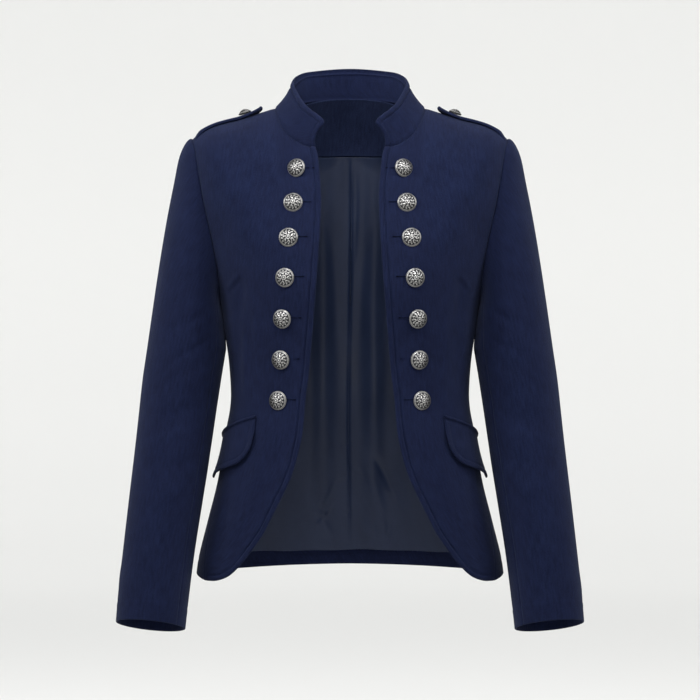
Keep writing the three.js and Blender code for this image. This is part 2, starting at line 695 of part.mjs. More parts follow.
// Domed buttons, each turned to lie flat on its cloth
function buttonGeometry({ radius, dome, rim }) {
  const profile = [
    [0, 0], [radius * 0.9, 0], [radius, rim * 0.5], [radius * 0.93, rim],
    [radius * 0.8, rim + dome * 0.25], [radius * 0.5, rim + dome * 0.75], [0, rim + dome],
  ].map(([x, y]) => new THREE.Vector2(x, y));
  return new THREE.LatheGeometry(profile, 12).rotateX(Math.PI / 2);
}

function addButton(name, size, place, outward) {
  const mesh = addMesh(name, buttonGeometry(size), SILVER);
  mesh.position.copy(place);
  mesh.quaternion.setFromUnitVectors(vec(0, 0, 1), outward);
}

for (const [side, sign] of [['left', 1], ['right', -1]]) {
  const mirror = vec(sign, 1, 1);
  BUTTONS.forEach(({ x, z }, i) => {
    const turn = turnAt(x, z);
    const place = offBody(turn, z, ON_PANEL).multiply(mirror);
    const outward = outOfBody(turn, z).multiply(mirror);
    addButton(`front_button_${side}_${i + 1}`, FRONT_BUTTON, place, outward);
  });
  const { x } = STRAP_BUTTON;
  const rise = STRAP.above + STRAP.cloth + STRAP_BUTTON.above;
  const place = vec(x, 0, shoulderTop(x, 0) + rise).multiply(mirror);
  const slope = (shoulderTop(x + 5, 0) - shoulderTop(x - 5, 0)) / 10;
  const outward = vec(-slope, 0, 1).normalize().multiply(mirror);
  addButton(`epaulette_button_${side}`, STRAP_BUTTON, place, outward);
}

export default blazer;
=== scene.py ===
import bpy
import numpy as np
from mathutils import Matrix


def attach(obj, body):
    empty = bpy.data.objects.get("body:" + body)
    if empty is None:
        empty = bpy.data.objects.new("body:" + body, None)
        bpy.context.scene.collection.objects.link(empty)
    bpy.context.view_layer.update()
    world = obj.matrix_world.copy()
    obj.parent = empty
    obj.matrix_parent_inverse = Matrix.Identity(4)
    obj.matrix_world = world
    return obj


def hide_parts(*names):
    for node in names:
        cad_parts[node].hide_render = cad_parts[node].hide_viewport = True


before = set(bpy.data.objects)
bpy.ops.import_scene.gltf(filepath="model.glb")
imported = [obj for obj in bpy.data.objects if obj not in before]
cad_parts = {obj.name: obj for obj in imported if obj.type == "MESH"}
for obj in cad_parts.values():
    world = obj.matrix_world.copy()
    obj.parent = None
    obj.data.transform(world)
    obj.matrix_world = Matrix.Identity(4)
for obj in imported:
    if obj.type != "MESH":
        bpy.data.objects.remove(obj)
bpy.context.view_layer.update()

# Studio. The camera stands level in front of the jacket, at the height of its waist. A pale
# round tent of paper goes up from the floor on every side, and glows a little by itself. Its
# glow is weakest on the floor under the jacket, a painted pool of shadow there.
# A soft lamp stands high at each side, a small one hangs close over the chest, one is above,
# and a weak one stands low in front and fills the inside of the neck.
MM = 0.001
SIDES = {"left": 1, "right": -1}
MIRROR = np.array([-1, 1, 1])
CAMERA_AT = (0, -2.6, -0.293)
LENS = 110.1
SENSOR = 36
CLIP_END = 30
FLOOR_Z = -0.95
TENT_PROFILE = [(0, 0), (0.8, 0), (1.8, 0), (2.8, 0), (3.4, 0), (3.8, 0.07), (4.1, 0.25),
                (4.32, 0.55), (4.4, 1.0), (4.4, 2.4), (4.4, 3.6)]
TENT_SIDES = 96
LAMPS = {
    "left_lamp": {"at": (1.72, -0.8, 0.85), "size": (0.8, 1.2), "power": 42},
    "right_lamp": {"at": (-1.72, -0.8, 0.85), "size": (0.8, 1.2), "power": 49},
    "front_lamp": {"at": (-0.06, -0.85, 0.8), "size": (0.6, 0.35), "power": 25},
    "low_lamp": {"at": (0, -1.5, -0.3), "size": (0.5, 0.5), "power": 4},
    "top_lamp": {"at": (0.1, 0.7, 1.8), "size": (1.4, 1.0), "power": 14},
}
AIM = (0, 0, -0.2)
# The tent's glow: weak on the floor under the jacket, a painted pool of shadow, and stronger at
# the walls.
GLOW_WITH_PAINTED_SHADOW = {"from": 1.0, "to": 3.6, "near": 0.09, "far": 0.315}
SKY = {"Color": (0.9, 0.92, 0.95, 1), "Strength": 0.3}


class Value:
    """A number that a material works out. Its sums and products add the Math nodes for them."""

    def __init__(self, finish, socket):
        self.finish = finish
        self.socket = socket

    def worked(self, operation, first, second):
        return self.finish.node("ShaderNodeMath", {"operation": operation}, {0: first, 1: second})

    def __add__(self, other):
        return self.worked("ADD", self, other)

    __radd__ = __add__

    def __mul__(self, other):
        return self.worked("MULTIPLY", self, other)

    __rmul__ = __mul__

    def __sub__(self, other):
        return self.worked("SUBTRACT", self, other)

    def __rsub__(self, other):
        return self.worked("SUBTRACT", other, self)

    def sine(self):
        return self.worked("SINE", self, 0.0)


class Finish:
    """A material. node() adds one node: its settings first, then its sockets, which take
    values or links, and it gives back the output that is asked for."""

    def __init__(self, name, **sockets):
        self.material = bpy.data.materials.new(name)
        self.material.use_nodes = True
        self.tree = self.material.node_tree
        self.shader = self.tree.nodes["Principled BSDF"]
        self.set(self.shader, {key.replace("_", " "): value for key, value in sockets.items()})

    def set(self, node, sockets):
        for key, value in sockets.items():
            if isinstance(value, Value):
                self.tree.links.new(value.socket, node.inputs[key])
            else:
                node.inputs[key].default_value = value

    def node(self, kind, settings, sockets, output=0):
        made = self.tree.nodes.new(kind)
        for key, value in settings.items():
            setattr(made, key, value)
        self.set(made, sockets)
        return Value(self, made.outputs[output])

    def mixed(self, share, first, second):
        """A colour between two, by a share from 0 to 1."""
        sides = [(*c, 1) if isinstance(c, tuple) else c for c in (first, second)]
        return self.node("ShaderNodeMix", {"data_type": "RGBA"},
                         {0: share, 6: sides[0], 7: sides[1]}, 2)

    def at(self):
        """Where a point is in its own piece."""
        return self.node("ShaderNodeTexCoord", {}, {}, "Object")

    def on_cloth(self):
        """Where a point is on the flat cloth."""
        return self.node("ShaderNodeUVMap", {"uv_map": "cloth"}, {})

    def ranged(self, value, low, high, first=0.0, last=1.0):
        """A value carried over from the range low to high into that of first to last."""
        return self.node("ShaderNodeMapRange", {},
                         {"Value": value, 1: low, 2: high, 3: first, 4: last})

    def noise(self, place, scale, detail=2.0, roughness=0.5):
        return self.node("ShaderNodeTexNoise", {},
                         {"Vector": place, "Scale": scale, "Detail": detail,
                          "Roughness": roughness})

    def stretched(self, place, scale):
        return self.node("ShaderNodeMapping", {}, {"Vector": place, "Scale": scale})

    def bump(self, height, distance, strength=1.0):
        return self.node("ShaderNodeBump", {},
                         {"Height": height, "Distance": distance, "Strength": strength})


def add_mesh(name, corners, faces, finish, cloth_map=None):
    """A smooth mesh from corners and lists of faces, with a material and, where it is cloth, a
    map of where each corner lies on the flat cloth."""
    mesh = bpy.data.meshes.new(name)
    mesh.from_pydata(np.asarray(corners, float).reshape(-1, 3).tolist(), [], faces)
    mesh.polygons.foreach_set("use_smooth", np.ones(len(mesh.polygons), bool))
    if cloth_map is not None:
        corner_of = np.empty(len(mesh.loops), np.int32)
        mesh.loops.foreach_get("vertex_index", corner_of)
        layer = mesh.uv_layers.new(name="cloth")
        layer.data.foreach_set("uv", cloth_map.reshape(-1, 2)[corner_of].ravel())
    mesh.materials.append(finish.material)
    mesh.update()
    piece = bpy.data.objects.new(name, mesh)
    bpy.context.scene.collection.objects.link(piece)
    return piece


def steps(*spans):
    """Places in rising order. A span is a list of places, or a start, an end and how many even
    places there are. A place that ends one span and starts the next counts once."""
    return np.unique(np.concatenate([np.linspace(*span) if isinstance(span, tuple) else span
                                     for span in spans]))


def grid_faces(columns, rows):
    """Four corner numbers for each cell of a grid whose columns run right and rows run up."""
    number = np.arange(columns * rows).reshape(columns, rows)
    return np.stack([number[:-1, :-1], number[1:, :-1], number[1:, 1:], number[:-1, 1:]],
                    -1).reshape(-1, 4)


def dress(piece, slot, node=None, **sheet):
    """Hangs a piece on the root and hides the part of the model that it stands for. What it is
    made of, the slot, is not used, nor is what is given for a sheet of cloth: how large the sheet
    is when flat and what holds it."""
    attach(piece, "root")
    if node:
        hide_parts(node)


def aim(thing, at, target):
    """Puts a lamp or camera at a place and turns it to look at the target."""
    thing.location = at
    away = thing.location - type(thing.location)(target)
    thing.rotation_euler = away.to_track_quat("Z", "Y").to_euler()
    bpy.context.scene.collection.objects.link(thing)


camera = bpy.data.objects.new("camera", bpy.data.cameras.new("camera"))
camera.data.lens = LENS
camera.data.sensor_width = SENSOR
camera.data.clip_end = CLIP_END
aim(camera, CAMERA_AT, (0, 0, CAMERA_AT[2]))
bpy.context.scene.camera = camera

for name, lamp in LAMPS.items():
    light = bpy.data.lights.new(name, "AREA")
    light.shape = "RECTANGLE"
    light.size, light.size_y = lamp["size"]
    light.energy = lamp["power"]
    hung = bpy.data.objects.new(name, light)
    hung.visible_camera = False
    aim(hung, lamp["at"], AIM)

turn = np.linspace(0, 2 * np.pi, TENT_SIDES + 1)[:, None]
tent_profile = np.array(TENT_PROFILE)
tent_points = np.stack([np.sin(turn) * tent_profile[:, 0], np.cos(turn) * tent_profile[:, 0],
                        FLOOR_Z + tent_profile[:, 1] + 0 * turn], -1)
paper = Finish("studio_paper", Base_Color=(0.62, 0.62, 0.61, 1), Roughness=0.9,
               Emission_Strength=1.0)
# The glow grows from the middle of the floor out to the walls. The floor under the jacket is
# dimmer, a painted pool of shadow, and gives less light from below.
from_middle = paper.node("ShaderNodeVectorMath", {"operation": "LENGTH"}, {0: paper.at()},
                         "Value")
glow_with_painted_shadow = paper.ranged(from_middle, *GLOW_WITH_PAINTED_SHADOW.values())
paper.set(paper.shader, {"Emission Color": paper.mixed(glow_with_painted_shadow, (0, 0, 0), (1.0, 1.0, 0.985))})
tent = add_mesh("studio_tent", tent_points, grid_faces(*tent_points.shape[:2]).tolist(), paper)

world = bpy.data.worlds.new("studio")
world.use_nodes = True
for key, value in SKY.items():
    world.node_tree.nodes["Background"].inputs[key].default_value = value
bpy.context.scene.world = world
bpy.context.scene.view_settings.view_transform = "Standard"


# Fronts. Navy twill of wool and viscose, 2 mm thick with its stay cloth. Each is cut with a
# curved cutaway from the buttons down to the side, and closed by a turned edge with one row
# of stitching 6.6 mm in. The form below is that of the whole body.
SECTION_WIDTH_POWER = 2.4
BODY = np.array([
    [-570, 186.5, 107, 112], [-544, 182.8, 107, 110], [-500, 171.9, 106, 105],
    [-451, 159.7, 105, 98], [-391, 150.0, 101, 87], [-366, 145.2, 99, 83],
    [-345, 143.8, 98, 81], [-306, 146.3, 101, 82], [-268, 151.9, 107, 85],
    [-233, 157.0, 113, 89], [-197, 166.5, 116, 92], [-162, 177.5, 118, 94],
    [-131, 186.0, 118, 95], [-98, 192.6, 118, 95], [-57, 200.5, 118, 95],
    [-38, 205.4, 118, 95], [20, 212.0, 118, 95],
]) * MM
BUST = {"x": 82 * MM, "z": -200 * MM, "rise": 7 * MM, "width": 45 * MM, "height": 50 * MM}
NECK_POINT_X = 91 * MM
SHOULDER = np.array([[91, 0], [108, -5.5], [136, -14.5], [150, -18], [165, -22.5],
                     [176, -27.5], [184, -32.5], [191, -38]]) * MM
NECK_CREST = {"slope": 0.32, "front": -14 * MM, "back": 31 * MM}
ROUNDING = {"from": 60 * MM, "to": 180 * MM, "front": (230 * MM, 95 * MM),
            "back": (115 * MM, 90 * MM), "inner": (1.5, 2), "outer": (0.625, 0.5)}
UNDERARM_Z = -233 * MM
ARMHOLE_DEPTH = {"front": (0.42, 0.4), "back": (0.44, 0.4)}
SIDE_SEAM = np.array([[-565, 1150], [-500, 1310], [-400, 1530], [-345, 1570.8],
                      [-233, 1570.8]]) * MM
FRONT_EDGE = np.array([[-508, 101], [-478, 86], [-448, 71.5], [-426, 63.7], [-392, 55.8],
                       [-352, 52.2], [-324, 48.5], [-277, 44.2], [-228, 40.2],
                       [-168, 35.9], [-112, 34], [-63, 38], [-52, 41]]) * MM
FRONT_HEM = np.array([[0, 101, -508], [200, 114.6, -527.7], [450, 131.5, -549],
                      [620, 144, -560.5], [800, 158, -566.6], [1000, 170.6, -568.2]]) * MM
FRONT_NECK = np.array([[0, 41, -52], [200, 53, -50.5], [450, 69.7, -40.5],
                       [650, 80.5, -27], [850, 87.5, -11], [1000, 91, 0]]) * MM
CLOTH = 2.0 * MM
STITCH_IN = 6.6 * MM
EDGE = {"puff": 0.85 * MM, "groove": 0.95 * MM, "groove_width": 1 * MM, "swell": 0.25 * MM,
        "swell_at": 3 * MM, "swell_width": 2.2 * MM}
SEAM = {"dip": 0.7 * MM, "width": 1.7 * MM, "swell": 0.25 * MM, "swell_at": 3.8 * MM,
        "swell_width": 1.8 * MM}
SIDE_SEAM_SHARE = 0.35
ROLL_FADE = 9 * MM
SMALL_TURN = 0.004
SMALL_RISE = 0.05 * MM
TINY = 1e-12
CREASE_POINTS = 13

# Creases of each front in millimetres, a row for each: x and z of each point of its path as
# seen from in front, then its width and its height. The two fronts have like ones, in their
# own sizes. The other pieces' creases are given in the same way.
FRONT_CREASES = {
    "left": [
        (126, -203, 133, -209, 143, -221, 3.0, 0.9),
        (124, -207, 131, -214, 139, -226, 3.4, -0.9),
        (129, -206, 130, -226, 128, -262, 6.0, -2.3),
        (128, -262, 127, -305, 129, -352, 6.5, -1.3),
        (113, -238, 112, -268, 114, -300, 5.5, 1.2),
        (113, -296, 111, -330, 112, -362, 5.0, 0.8),
        (139, -240, 137, -280, 138, -330, 4.0, 0.8),
        (72, -386, 89, -432, 103, -474, 9.0, -1.5),
        (98, -372, 109, -430, 124, -492, 9.0, 1.0),
        (140, -432, 146, -480, 154, -540, 7.0, -1.0),
        (158, -88, 149, -128, 146, -176, 11.0, -1.3),
        (118, -52, 112, -100, 118, -150, 16.0, 0.9),
        (64, -255, 96, -262, 132, -250, 9.0, -0.7),
        (60, -300, 92, -318, 128, -312, 8.0, 0.6),
    ],
    "right": [
        (-128, -202, -136, -210, -147, -222, 3.0, 1.0),
        (-126, -206, -134, -215, -143, -227, 3.4, -0.8),
        (-128, -205, -129, -228, -131, -258, 6.5, -2.6),
        (-131, -258, -134, -300, -131, -346, 6.0, -1.2),
        (-113, -232, -111, -262, -110, -292, 5.0, 1.3),
        (-125, -241, -124, -290, -125, -356, 4.0, 1.2),
        (-141, -244, -139, -290, -140, -336, 4.5, 0.6),
        (-72, -384, -91, -434, -104, -472, 10.0, -1.6),
        (-100, -378, -112, -440, -129, -500, 8.0, 0.9),
        (-139, -440, -148, -492, -158, -546, 6.5, -1.1),
        (-160, -92, -151, -134, -149, -172, 12.0, -1.2),
        (-114, -56, -120, -104, -112, -146, 15.0, 0.8),
        (-66, -262, -98, -256, -130, -262, 9.0, -0.6),
        (-62, -312, -90, -306, -126, -322, 9.0, 0.6),
    ],
}


def read_table(table, column, at):
    """A column of a table at any place in its first column: between each two rows a cubic,
    whose slope at a row is that from the row before it to the row after it."""
    places, values = table[:, 0], table[:, column]
    at = np.clip(at, places[0], places[-1])
    slopes = np.gradient(values) / np.gradient(places)
    row = np.clip(np.searchsorted(places, at, side="left") - 1, 0, len(places) - 2)
    span = places[row + 1] - places[row]
    t = (at - places[row]) / span
    return ((2 * t**3 - 3 * t**2 + 1) * values[row] + (t**3 - 2 * t**2 + t) * span * slopes[row]
            + (3 * t**2 - 2 * t**3) * values[row + 1] + (t**3 - t**2) * span * slopes[row + 1])


def blended(first, last, share):
    return first + (last - first) * share


def eased(share):
    """From 0 to 1 with a level start and end: three times the square less twice the cube."""
    share = np.clip(share, 0, 1)
    return share * share * (3 - 2 * share)


def bell(distance, width):
    """A bell curve: 1 at no distance, and the width away 1 over e."""
    return np.exp(-((distance / width) ** 2))


def unit(vectors):
    return vectors / np.maximum(np.linalg.norm(vectors, axis=-1, keepdims=True), TINY)


def body(turn, z):
    """The body form, from the centre front, turn 0, round the wearer's left to the centre
    back, a half turn. Its section is a flattened ellipse, and near the shoulder line it rounds
    over by a power of the distance below that line."""
    half_width = read_table(BODY, 1, z)
    x = half_width * np.abs(np.sin(turn)) ** (2 / SECTION_WIDTH_POWER)
    in_front = turn < np.pi / 2
    bust = BUST["rise"] * np.exp(-(((x - BUST["x"]) / BUST["width"]) ** 2) / 2
                                 - (((z - BUST["z"]) / BUST["height"]) ** 2) / 2)
    depth = np.where(in_front, read_table(BODY, 2, z) + bust, read_table(BODY, 3, z))
    crest, height, inner, outer = shoulder_line(x, in_front)
    below = np.clip((crest - z) / height, 0, 1)
    over = (1 - (1 - below) ** inner) ** outer
    return np.stack([x * np.sign(np.sin(turn)), -depth * np.cos(turn) * over, z + 0 * x], -1)


def shoulder_line(x, in_front):
    """At x, the height of the shoulder line, how far below it the form is round, and the two
    powers of the rounding."""
    share = np.clip(x / NECK_POINT_X, 0, 1)
    rise = np.where(in_front, NECK_CREST["front"], NECK_CREST["back"])
    neck = NECK_CREST["slope"] * (NECK_POINT_X - x) + rise * (1 - share**2) ** 1.5
    crest = np.where(x >= NECK_POINT_X, read_table(SHOULDER, 1, x), neck)
    to_tip = eased((x - ROUNDING["from"]) / (ROUNDING["to"] - ROUNDING["from"]))
    height = np.where(in_front, blended(*ROUNDING["front"], to_tip),
                      blended(*ROUNDING["back"], to_tip))
    return crest, height, blended(*ROUNDING["inner"], to_tip), blended(*ROUNDING["outer"], to_tip)


def out_of_body(turn, z):
    """The way straight out of the form: its slope round it crossed with its slope upwards."""
    around = body(turn + SMALL_TURN, z) - body(turn - SMALL_TURN, z)
    up = body(turn, z + SMALL_RISE) - body(turn, z - SMALL_RISE)
    return unit(np.cross(around, up))


def turn_at(x, z, in_front=True):
    """The turn at which the form has a given x."""
    share = np.clip(x / read_table(BODY, 1, z), 0, 1)
    turn = np.arcsin(share ** (SECTION_WIDTH_POWER / 2))
    return turn if in_front else np.pi - turn


def line_at(x, z, in_front=True):
    """A line on the form as its turns and heights, from its x and z."""
    return np.stack([turn_at(x, z, in_front), z], -1)


def fill(left, right, bottom, top, u, v):
    """A grid between four edges: the blend of left and right, plus that of bottom and top,
    less that of the four corners."""
    u, v = u[:, None, None], v[None, :, None]
    across = (1 - u) * left[None] + u * right[None]
    upward = (1 - v) * bottom[:, None] + v * top[:, None]
    corners = ((1 - u) * ((1 - v) * bottom[0] + v * top[0])
               + u * ((1 - v) * bottom[-1] + v * top[-1]))
    return across + upward - corners


def side_seam_line(v):
    """The side seam from its foot at the hem, v 0, to the underarm, v 1."""
    z = blended(FRONT_HEM[-1, 2], UNDERARM_Z, v)
    return np.stack([read_table(SIDE_SEAM, 1, z), z], -1)


def armhole_line(v, in_front):
    """Half of the armhole, from the underarm, v 0, to the shoulder's tip, v 1. Its depth goes
    up by a sine to the middle of its height and straight from there to the tip."""
    mid, end = ARMHOLE_DEPTH["front" if in_front else "back"]
    share = np.where(v < 0.5, mid * np.sin(np.pi * v), blended(mid, end, 2 * v - 1))
    z = blended(UNDERARM_Z, SHOULDER[-1, 1], (1 - np.cos(np.pi * v)) / 2)
    turn = np.arccos(share)
    at_tip = turn_at(SHOULDER[-1, 0], SHOULDER[-1, 1])
    turn = np.where(v > 0.9, blended(turn, at_tip, eased((v - 0.9) * 10)), turn)
    return np.stack([turn if in_front else np.pi - turn, z], -1)


def shoulder_seam_line(u, in_front):
    x = blended(NECK_POINT_X, SHOULDER[-1, 0], u)
    return line_at(x, read_table(SHOULDER, 1, x), in_front)


def side_edge(v, underarm_v, in_front):
    """A panel's side: the side seam up to the underarm's row, and the armhole from there."""
    seam = side_seam_line(np.clip(v / underarm_v, 0, 1))
    armhole = armhole_line(np.clip((v - underarm_v) / (1 - underarm_v), 0, 1), in_front)
    return np.where((v < underarm_v)[:, None], seam, armhole)


def top_edge(u, neck_u, neck_line, in_front):
    """A panel's top: its neck line out to the neck point's column, and the shoulder seam."""
    shoulder = shoulder_seam_line(np.clip((u - neck_u) / (1 - neck_u), 0, 1), in_front)
    return np.where((u < neck_u)[:, None], neck_line(np.clip(u / neck_u, 0, 1)), shoulder)


def distance_to(points, line):
    """Each point's least distance from a line, and how far along the line that is, from 0 to
    1: the foot of the perpendicular on each straight piece, held between its ends."""
    flat = points.reshape(-1, points.shape[-1])
    lengths = np.linalg.norm(np.diff(line, axis=0), axis=1)
    passed = np.concatenate([[0], np.cumsum(lengths)]) / lengths.sum()
    nearest = np.full(len(flat), np.inf)
    along = np.zeros(len(flat))
    for start, end, first, last in zip(line[:-1], line[1:], passed[:-1], passed[1:]):
        step = end - start
        share = np.clip((flat - start) @ step / max(step @ step, TINY), 0, 1)
        away = np.linalg.norm(flat - start - share[:, None] * step, axis=1)
        closer = away < nearest
        nearest = np.where(closer, away, nearest)
        along = np.where(closer, blended(first, last, share), along)
    return nearest.reshape(points.shape[:-1]), along.reshape(points.shape[:-1])


def creased(places, creases):
    """The height of all creases at each place. Each is a bell curve of the distance from its
    smooth path, and fades to nothing at the path's two ends by the root of a sine."""
    height = np.zeros(places.shape[:-1])
    for *path, width, rise in creases:
        path = np.array(path, float).reshape(-1, 2)
        table = np.column_stack([np.arange(len(path)), path])
        at = np.linspace(0, len(path) - 1, CREASE_POINTS)
        line = np.stack([read_table(table, 1, at), read_table(table, 2, at)], -1) * MM
        away, along = distance_to(places, line)
        fade = np.sin(np.pi * np.clip(along, 0.02, 0.98)) ** 0.7
        height += rise * MM * fade * bell(away, width * MM)
    return height


def edge_roll(from_edge):
    """A turned and stitched edge: it puffs up between the edge and the stitching, by a sine,
    and the stitches pull a narrow groove into it."""
    puff = EDGE["puff"] * np.sin(np.pi * np.clip(from_edge / STITCH_IN, 0, 1))
    from_stitches = from_edge - STITCH_IN
    return (puff - EDGE["groove"] * bell(from_stitches, EDGE["groove_width"])
            + EDGE["swell"] * bell(from_stitches - EDGE["swell_at"], EDGE["swell_width"]))


def seam_rise(from_seam, depth=1.0):
    """Cloth rises out of a seam by the rest of a bell curve of the distance, and swells a
    little beside it. Both pieces start from the same height at the seam, so they meet."""
    swell = SEAM["swell"] * bell(from_seam - SEAM["swell_at"], SEAM["swell_width"])
    return SEAM["dip"] * (1 - depth * bell(from_seam, SEAM["width"])) + depth * swell


def wall(name, surface, outward, cloth, from_edge, finish, cloth_map):
    """A closed wall of cloth, whose outside is the surface. Within half its thickness of a
    free edge both sides close in on a half circle."""
    half = 0.49 * cloth
    close = 1 - np.clip(from_edge / half, 0, 1)
    sink = (half * (1 - np.sqrt(1 - close**2)))[..., None]
    outside = surface - outward * sink
    inside = surface - outward * (cloth - sink)
    columns, rows = surface.shape[:2]
    count = columns * rows
    number = np.arange(count).reshape(columns, rows)
    front = grid_faces(columns, rows)
    rim = np.concatenate([number[:, 0], number[-1, 1:], number[-2::-1, -1], number[0, -2:0:-1]])
    ahead = np.roll(rim, -1)
    sides = np.stack([ahead, rim, rim + count, ahead + count], -1)
    faces = np.concatenate([front, front[:, ::-1] + count, sides])
    corners = np.concatenate([outside.reshape(-1, 3), inside.reshape(-1, 3)])
    both = np.concatenate([cloth_map.reshape(-1, 2), cloth_map.reshape(-1, 2)])
    return add_mesh(name, corners, faces.tolist(), finish, both)


def flat_map(surface):
    """How far each point is along its row and its column, as the cloth lies flat."""
    across = np.linalg.norm(np.diff(surface, axis=0), axis=-1)
    upward = np.linalg.norm(np.diff(surface, axis=1), axis=-1)
    u = np.concatenate([np.zeros((1, surface.shape[1])), np.cumsum(across, 0)])
    v = np.concatenate([np.zeros((surface.shape[0], 1)), np.cumsum(upward, 1)], 1)
    return np.stack([u, v], -1)


def flipped(grid):
    """The same grid on the wearer's right, with its columns turned round to face outwards."""
    return grid[::-1] * MIRROR


def worn_on(side, surface, outward, from_edge, cloth_map):
    """The four grids of a piece as they are on the left, or turned over to the right."""
    if side == "left":
        return surface, outward, from_edge, cloth_map
    return flipped(surface), flipped(outward), from_edge[::-1], cloth_map[::-1]


def seen_from_front(surface, side):
    """Each point's x and z, with x towards the side that the piece is on."""
    return surface[..., [0, 2]] * np.array([SIDES[side], 1])


RIB_PITCH = 0.0011
WEFT_PITCH = 0.0007


def twill_cloth(name, colour, light):
    """Twill: fine slanting ribs crossed by the weft, a mottle of yarn shades, a soft nap and
    colour that varies a little in patches. The cloth map gives its scale."""
    twill = Finish(name, Roughness=0.85, Sheen_Weight=0.04, Sheen_Roughness=0.5,
                   Sheen_Tint=(0.42, 0.5, 0.85, 1), Specular_IOR_Level=0.05)
    flat = twill.on_cloth()
    parts = twill.tree.nodes.new("ShaderNodeSeparateXYZ")
    twill.set(parts, {"Vector": flat})
    across, upward = Value(twill, parts.outputs[0]), Value(twill, parts.outputs[1])
    rib = ((across + upward) * (2 * np.pi / RIB_PITCH)).sine()
    weft = ((upward - across * 0.4) * (2 * np.pi / WEFT_PITCH)).sine()
    weave = rib * 0.6 + weft * 0.4
    yarn = twill.noise(flat, 640.0, 3.0, 0.65)
    slub = twill.noise(twill.stretched(flat, (1.0, 0.16, 1.0)), 420.0, 3.0, 0.55)
    patch = twill.noise(flat, 26.0, 3.0, 0.5)
    nap = twill.noise(twill.stretched(flat, (1.0, 0.3, 1.0)), 130.0, 2.0, 0.5)
    shade = (yarn - 0.5) * 1.0 + (slub - 0.5) * 1.0 + (patch - 0.5) * 0.4 + weave * 0.12
    tone = twill.ranged(shade, -0.27, 0.27)
    twill.set(twill.shader, {
        "Base Color": twill.mixed(tone, colour, light),
        "Roughness": 0.78 + nap * 0.14,
        "Normal": twill.bump(weave * 0.08 + yarn * 0.2 + slub * 0.18 + nap * 0.16, 0.0008, 0.85),
    })
    return twill


navy_twill = twill_cloth("navy_twill", (0.0014, 0.0025, 0.0105), (0.0040, 0.0066, 0.0225))

# Columns lie closest together at the turned edge and at the seams.
front_u = steps([0, 0.0006, 0.0016, 0.0032, 0.0055], (0.009, 0.075, 17), (0.075, 0.955, 46),
                (0.955, 1, 12))
front_v = steps((0.0015, 0.965, 208), (0.965, 1, 18))
SEAM_POINTS = (60, 80, 30)
FREE_EDGE_POINTS = 260
FRONT_NECK_POINTS = 40
UNDERARM_V = 0.62
HEM_V = 0.24
NECK_U = 0.42


def front_rows(v):
    """The front's free edge and its side, from the foot of the side seam upwards. The free
    edge goes back along the hem to the cutaway and then up to the neck."""
    hem_t = 1 - np.clip(v / HEM_V, 0, 1)
    hem_x, hem_z = read_table(FRONT_HEM, 1, hem_t), read_table(FRONT_HEM, 2, hem_t)
    edge_z = blended(FRONT_EDGE[0, 0], FRONT_EDGE[-1, 0], np.clip((v - HEM_V) / (1 - HEM_V), 0, 1))
    edge_x = read_table(FRONT_EDGE, 1, edge_z)
    on_hem = v < HEM_V
    x, z = np.where(on_hem, hem_x, edge_x), np.where(on_hem, hem_z, edge_z)
    return line_at(x, z), side_edge(v, UNDERARM_V, True)


def front_neck_line(t):
    return line_at(read_table(FRONT_NECK, 1, t), read_table(FRONT_NECK, 2, t))


def on_body(line):
    return body(line[..., 0], line[..., 1])


def from_seams(surface, neck_line, in_front):
    """Each point's distance from the side seam, and that from the nearest other seam."""
    side, armhole, shoulder = (np.linspace(0, 1, count) for count in SEAM_POINTS)
    side_away, *others = (distance_to(surface, on_body(line))[0] for line in (
        side_seam_line(side), armhole_line(armhole, in_front),
        shoulder_seam_line(shoulder, in_front), neck_line))
    return side_away, np.min(others, 0)


free_edge, side_line = front_rows(front_v)
front_top = top_edge(front_u, NECK_U, front_neck_line, True)
front_foot = np.repeat(front_rows(np.array([front_v[0]]))[0], len(front_u), 0)
front_grid = fill(free_edge, side_line, front_foot, front_top, front_u, front_v)
front_surface = on_body(front_grid)
front_out = out_of_body(front_grid[..., 0], front_grid[..., 1])
front_free_line = on_body(front_rows(np.linspace(0, 1, FREE_EDGE_POINTS))[0])
front_from_edge = distance_to(front_surface, front_free_line)[0]
front_from_side, front_from_seam = from_seams(
    front_surface, front_neck_line(np.linspace(0, 1, FRONT_NECK_POINTS)), True)
front_map = flat_map(front_surface)

# The turned edge flattens out where it meets the side seam, as the back's hem has none.
roll_share = 1 - bell(front_from_side, ROLL_FADE)
front_relief = edge_roll(front_from_edge) * roll_share + np.minimum(
    seam_rise(front_from_side, SIDE_SEAM_SHARE), seam_rise(front_from_seam))
fronts = {}
for side in SIDES:
    relief = front_relief + creased(seen_from_front(front_surface, side), FRONT_CREASES[side])
    surface, outward, from_edge, cloth_map = worn_on(
        side, front_surface + front_out * relief[..., None], front_out, front_from_edge, front_map)
    front = wall(f"front_{side}_panel", surface, outward, CLOTH, from_edge, navy_twill, cloth_map)
    dress(front, "cloth", f"front_{side}", flat=(0.235, 0.57), held="hung",
          rests_on=["collar_stand"], area=0.080)
    fronts[side] = (surface, outward, from_edge)


